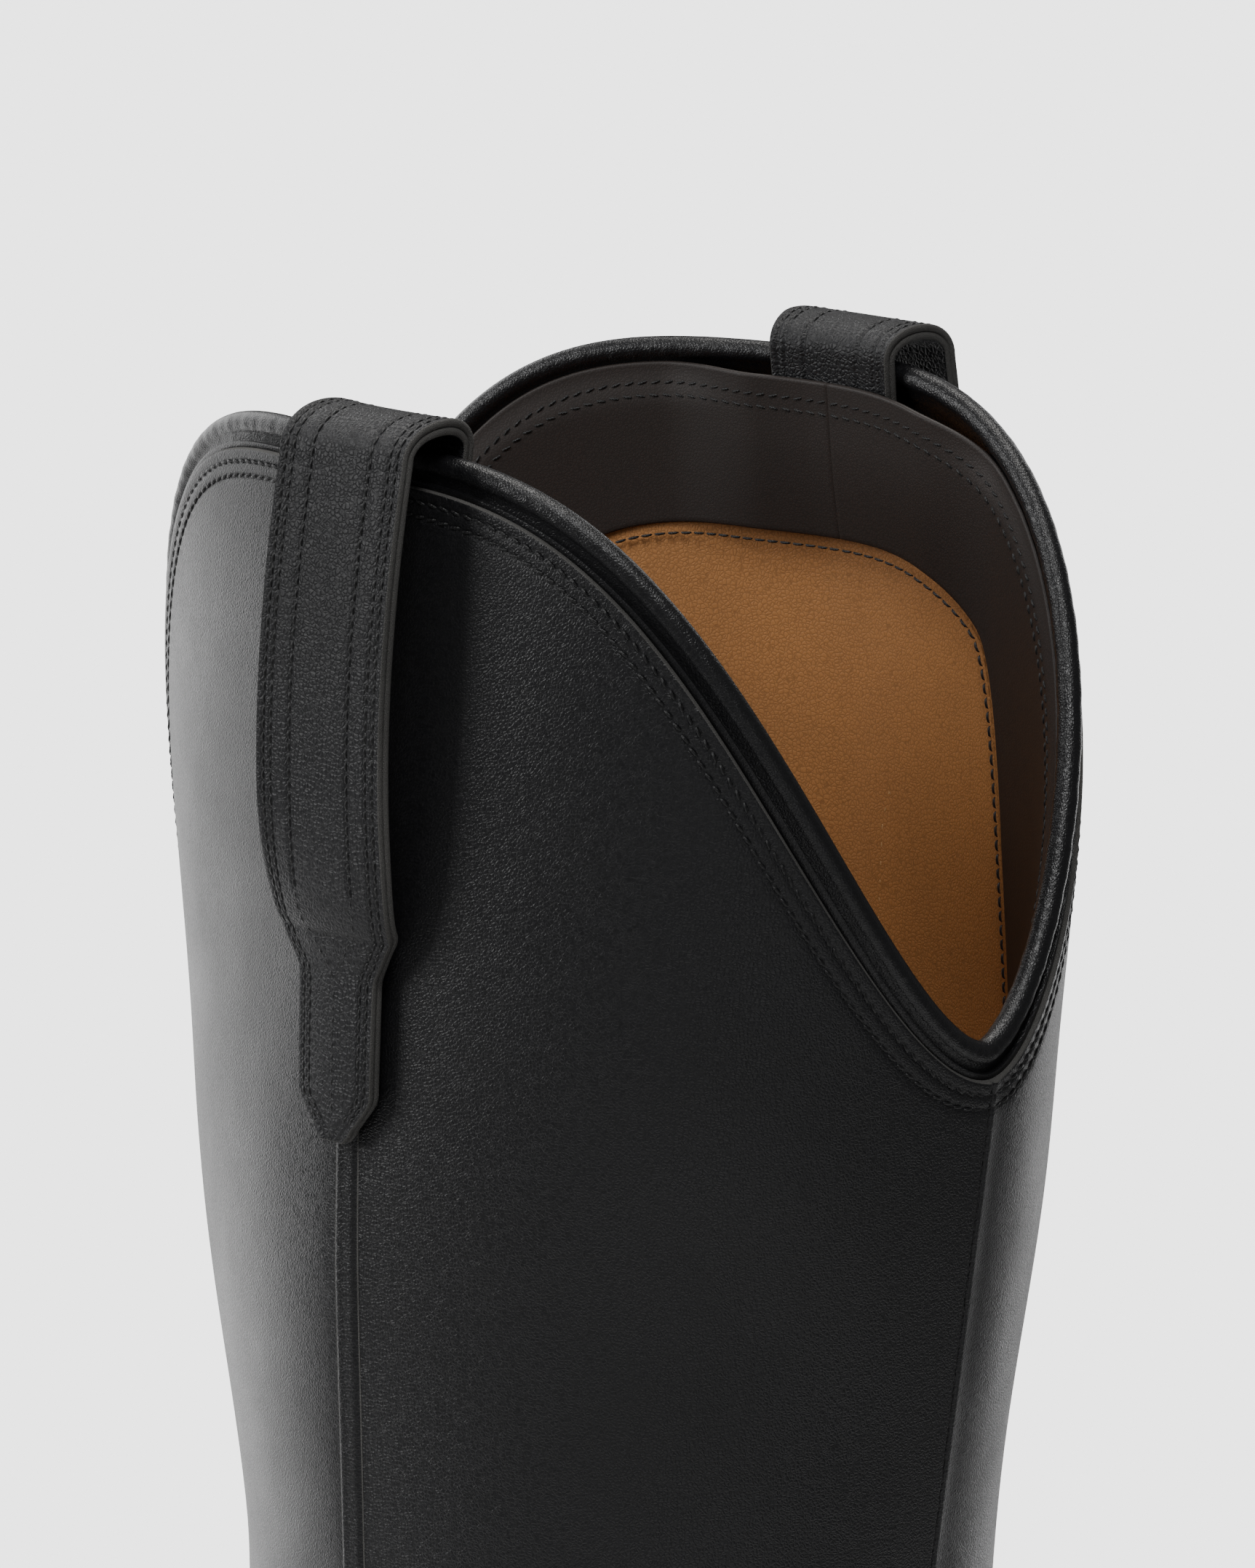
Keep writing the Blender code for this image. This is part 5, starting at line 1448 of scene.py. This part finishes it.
class BOOT_OT_heel(bpy.types.Operator):
    """Stacked leather lifts, rubber top lift and brass nails"""
    bl_idname = "boot.heel"
    bl_label = "Heel"

    def execute(self, context):
        plan = heel_outline()
        pitch = (HEEL_HEIGHT - TOP_LIFT - GAP) / LIFT_COUNT
        place(lift("top_lift_rubber", plan, 0.0, TOP_LIFT, 0.5 * MM, [heel_rubber()]), "boot", "heel_rubber",
              "top_lift")
        for number in range(LIFT_COUNT):
            low = TOP_LIFT + GAP * 0.5 + number * pitch
            name = "heel_lift_%d" % (number + 1)
            made = lift(name + "_leather", plan, low, low + pitch - GAP * 0.4, 0.35 * MM, [sole_leather()])
            place(made, "boot", "sole_leather", name)
        first = turn_at(HEEL_BREAST - NAIL_START)
        turns = np.linspace(first, 2 * np.pi - first, NAIL_COUNT)
        spots = heel_shape(outline(turns, NAIL_INSET + 0 * turns), 0.0)
        profile = np.array(NAIL_PROFILE)
        angle = round_turns(24)
        points, faces = [], []
        one = cells(len(profile), len(angle), False, True)
        for number, spot in enumerate(spots):
            radius = profile[:, :1] * NAIL_RADIUS
            x, y = radius * np.cos(angle), radius * np.sin(angle)
            z = np.clip(profile[:, 1:] * MM + 0.3 * MM, 0, None) + 0 * angle
            points.append(np.stack([x + spot[0], y + spot[1], z], -1).reshape(-1, 3))
            faces.append(one + number * len(profile) * len(angle))
        made = sew(put("heel_nails_brass", np.concatenate(points), np.concatenate(faces), [nail_brass()], sharp=40))
        place(made, "boot", "nail_brass", *["heel_nail_%d" % (i + 1) for i in range(NAIL_COUNT)])
        return {"FINISHED"}


class BOOT_OT_inside(bpy.types.Operator):
    """Finishes of the stiffeners, insole, filler and shank, which keep their own shapes"""
    bl_idname = "boot.inside"
    bl_label = "Hidden pieces"

    def execute(self, context):
        for node, material in hidden_materials().items():
            for material_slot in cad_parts[node].material_slots:
                material_slot.material = material
        return {"FINISHED"}


# ---------------------------------------------------------------- stage

CAMERA_TURN = math.radians(48.915)
CAMERA_RISE = math.radians(12.442)
CAMERA_ROLL = math.radians(0.339)
CAMERA_DISTANCE = 1500 * MM
CAMERA_RIGHT = 3.494 * MM
CAMERA_UP = -52.538 * MM
LENS = 250.7
FLOOR_SOLID = 0.36
FLOOR_END = 0.62
FLOOR_MIDDLE = 0.1
LIT_HEIGHT = 0.3
SURROUND_SEEN = 3.9
SURROUND_LIGHT = 0.16

# Each light: how far it stands to the right of the boot, behind it and above its lit middle, its width and height in
# metres, and its power.
LIGHTS = {
    "left_softbox": (-0.75, 1.15, -0.05, 0.9, 2.2, 17),
    "right_softbox": (0.6, 1.15, 0.1, 0.35, 1.4, 4.5),
    "side_key": (-1.35, -0.25, 0.55, 0.6, 0.9, 12),
    "top_softbox": (0.0, 0.5, 1.5, 0.7, 0.7, 12),
    "mouth_light": (0.0, -0.8, 1.3, 0.5, 0.5, 10.5),
    "front_fill": (0.35, -1.5, -0.35, 0.6, 0.6, 1.2),
}
WARM = {"top_softbox": (1.0, 0.98, 0.95)}
AIMED_HIGHER = {"mouth_light": 0.05}


def camera_axes():
    """Directions back to the camera, to its right and up."""
    turn, rise = CAMERA_TURN, CAMERA_RISE
    back = np.array([-math.cos(turn) * math.cos(rise), math.sin(turn) * math.cos(rise), math.sin(rise)])
    right = np.array([-math.sin(turn), -math.cos(turn), 0.0])
    up = np.cross(back, right)
    rolled = right * math.cos(CAMERA_ROLL) + up * math.sin(CAMERA_ROLL)
    return back, rolled, np.cross(back, rolled)


def softbox(name, position, target, width, height, power, tint):
    """Rectangular studio light that faces a point."""
    data = bpy.data.lights.new(name, "AREA")
    data.shape = "RECTANGLE"
    data.size, data.size_y, data.energy, data.color = width, height, power, tint
    made = bpy.data.objects.new(name, data)
    from_target = unit(np.asarray(position, float) - np.asarray(target, float))
    side = unit(np.cross([0.0, 0.0, 1.0], from_target))
    made.matrix_world = matrix(side, np.cross(from_target, side), from_target, position)
    bpy.context.collection.objects.link(made)
    return made


def matrix(right, up, back, position):
    """Placement whose own axes point right, up and back."""
    rows = np.eye(4)
    rows[:3, 0], rows[:3, 1], rows[:3, 2], rows[:3, 3] = right, up, back, position
    return Matrix(rows.tolist())


class BOOT_OT_stage(bpy.types.Operator):
    """Pale floor that fades into a pale surround, soft studio lights and the camera"""
    bl_idname = "boot.stage"
    bl_label = "Stage"

    def execute(self, context):
        back, right, up = camera_axes()
        crest = np.array([SHAFT_AXIS, 0, CREST_HEIGHT])
        data = bpy.data.cameras.new("camera")
        data.lens, data.sensor_width = LENS, 36
        camera = bpy.data.objects.new("camera", data)
        position = crest + back * CAMERA_DISTANCE + right * CAMERA_RIGHT + up * CAMERA_UP
        camera.matrix_world = matrix(right, up, back, position)
        context.collection.objects.link(camera)
        context.scene.camera = camera
        flat_right = unit(np.array([right[0], right[1], 0]))
        ahead = unit(np.array([-back[0], -back[1], 0]))
        target = np.array([SHAFT_AXIS, 0, LIT_HEIGHT])
        above = np.array([0, 0, 1.0])
        for name, (rightward, behind, upward, width, height, power) in LIGHTS.items():
            position = target + flat_right * rightward + ahead * behind + above * upward
            softbox(name, position, target + above * AIMED_HIGHER.get(name, 0.0), width, height, power,
                    WARM.get(name, (1.0, 1.0, 1.0)))
        self.make_world(context)
        self.make_floor()
        return {"FINISHED"}

    def make_world(self, context):
        """Even pale surround to the eye, and a dim one to the boot, as between a studio's black flags."""
        world = bpy.data.worlds.new("surround")
        context.scene.world = world
        world.use_nodes = True
        tree = world.node_tree
        tree.nodes.clear()
        pale = (*tuple(colours().floor), 1.0)
        seen = add(tree, "ShaderNodeBackground", {"Color": pale, "Strength": SURROUND_SEEN})
        lighting = add(tree, "ShaderNodeBackground", {"Color": pale, "Strength": SURROUND_LIGHT})
        ray = add(tree, "ShaderNodeLightPath").outputs["Is Camera Ray"]
        both = add(tree, "ShaderNodeMixShader", {0: ray, 1: lighting.outputs[0], 2: seen.outputs[0]})
        add(tree, "ShaderNodeOutputWorld", {"Surface": both.outputs[0]})

    def make_floor(self):
        """Disc of paper under the boot: rings from its middle out, which fades to nothing towards its edge."""
        angle = round_turns(96)
        radius = np.linspace(0.001, FLOOR_END, 12)[:, None]
        x, y = radius * np.cos(angle) + FLOOR_MIDDLE, radius * np.sin(angle)
        points = np.stack([x, y, 0 * x - 0.0002], -1)
        made = bpy.data.meshes.new("floor")
        made.from_pydata(points.reshape(-1, 3).tolist(), [],
                         cells(len(radius), len(angle), False, True)[:, ::-1].tolist() + [list(range(len(angle)))])
        floor = bpy.data.objects.new("floor", made)
        bpy.context.collection.objects.link(floor)
        material, tree, surface_node = shader("matt background paper", 0.9)
        pale = tuple(colours().floor)
        spot = add(tree, "ShaderNodeTexCoord").outputs["Object"]
        middle = add(tree, "ShaderNodeVectorMath", {0: spot, 1: (FLOOR_MIDDLE, 0.0, 0.0)}, operation="DISTANCE")
        share = between(tree, middle.outputs["Value"], FLOOR_SOLID, FLOOR_END - 0.02, 1.0, 0.0)
        grain = add(tree, "ShaderNodeTexNoise", {"Vector": spot, "Scale": 900.0, "Detail": 3.0})
        tree.links.new(mixed(tree, between(tree, grain.outputs["Fac"], 0.3, 0.7), pale, toned(pale, 0.985)),
                       surface_node.inputs["Base Color"])
        tree.links.new(share, surface_node.inputs["Alpha"])
        made.materials.append(material)


PIECES = (BOOT_OT_shaft, BOOT_OT_side_welts, BOOT_OT_piping, BOOT_OT_facing, BOOT_OT_lining, BOOT_OT_straps,
          BOOT_OT_foot, BOOT_OT_sole, BOOT_OT_heel, BOOT_OT_inside, BOOT_OT_stage)


class BOOT_PT_panel(bpy.types.Panel):
    """Lists the boot's sizes, colours and pieces"""
    bl_idname = "BOOT_PT_panel"
    bl_label = "Western boot"
    bl_space_type = "VIEW_3D"
    bl_region_type = "UI"
    bl_category = "Boot"

    def draw(self, context):
        for group in (context.scene.boot_sizes, context.scene.boot_colours):
            box = self.layout.box()
            for key in group.__annotations__:
                box.prop(group, key)
        for piece in PIECES:
            self.layout.operator(piece.bl_idname)


CLASSES = (BootSizes, BootColours, BOOT_PT_panel) + PIECES


def register():
    """Registers the sizes, the colours, the panel and the operators."""
    for item in CLASSES:
        bpy.utils.register_class(item)
    bpy.types.Scene.boot_sizes = PointerProperty(type=BootSizes)
    bpy.types.Scene.boot_colours = PointerProperty(type=BootColours)


def unregister():
    """Takes them out again, in the opposite order."""
    del bpy.types.Scene.boot_colours
    del bpy.types.Scene.boot_sizes
    for item in reversed(CLASSES):
        bpy.utils.unregister_class(item)


def main():
    """Builds every piece in order."""
    register()
    for piece in PIECES:
        group, name = piece.bl_idname.split(".")
        getattr(getattr(bpy.ops, group), name)()


if __name__ == "__main__":
    main()
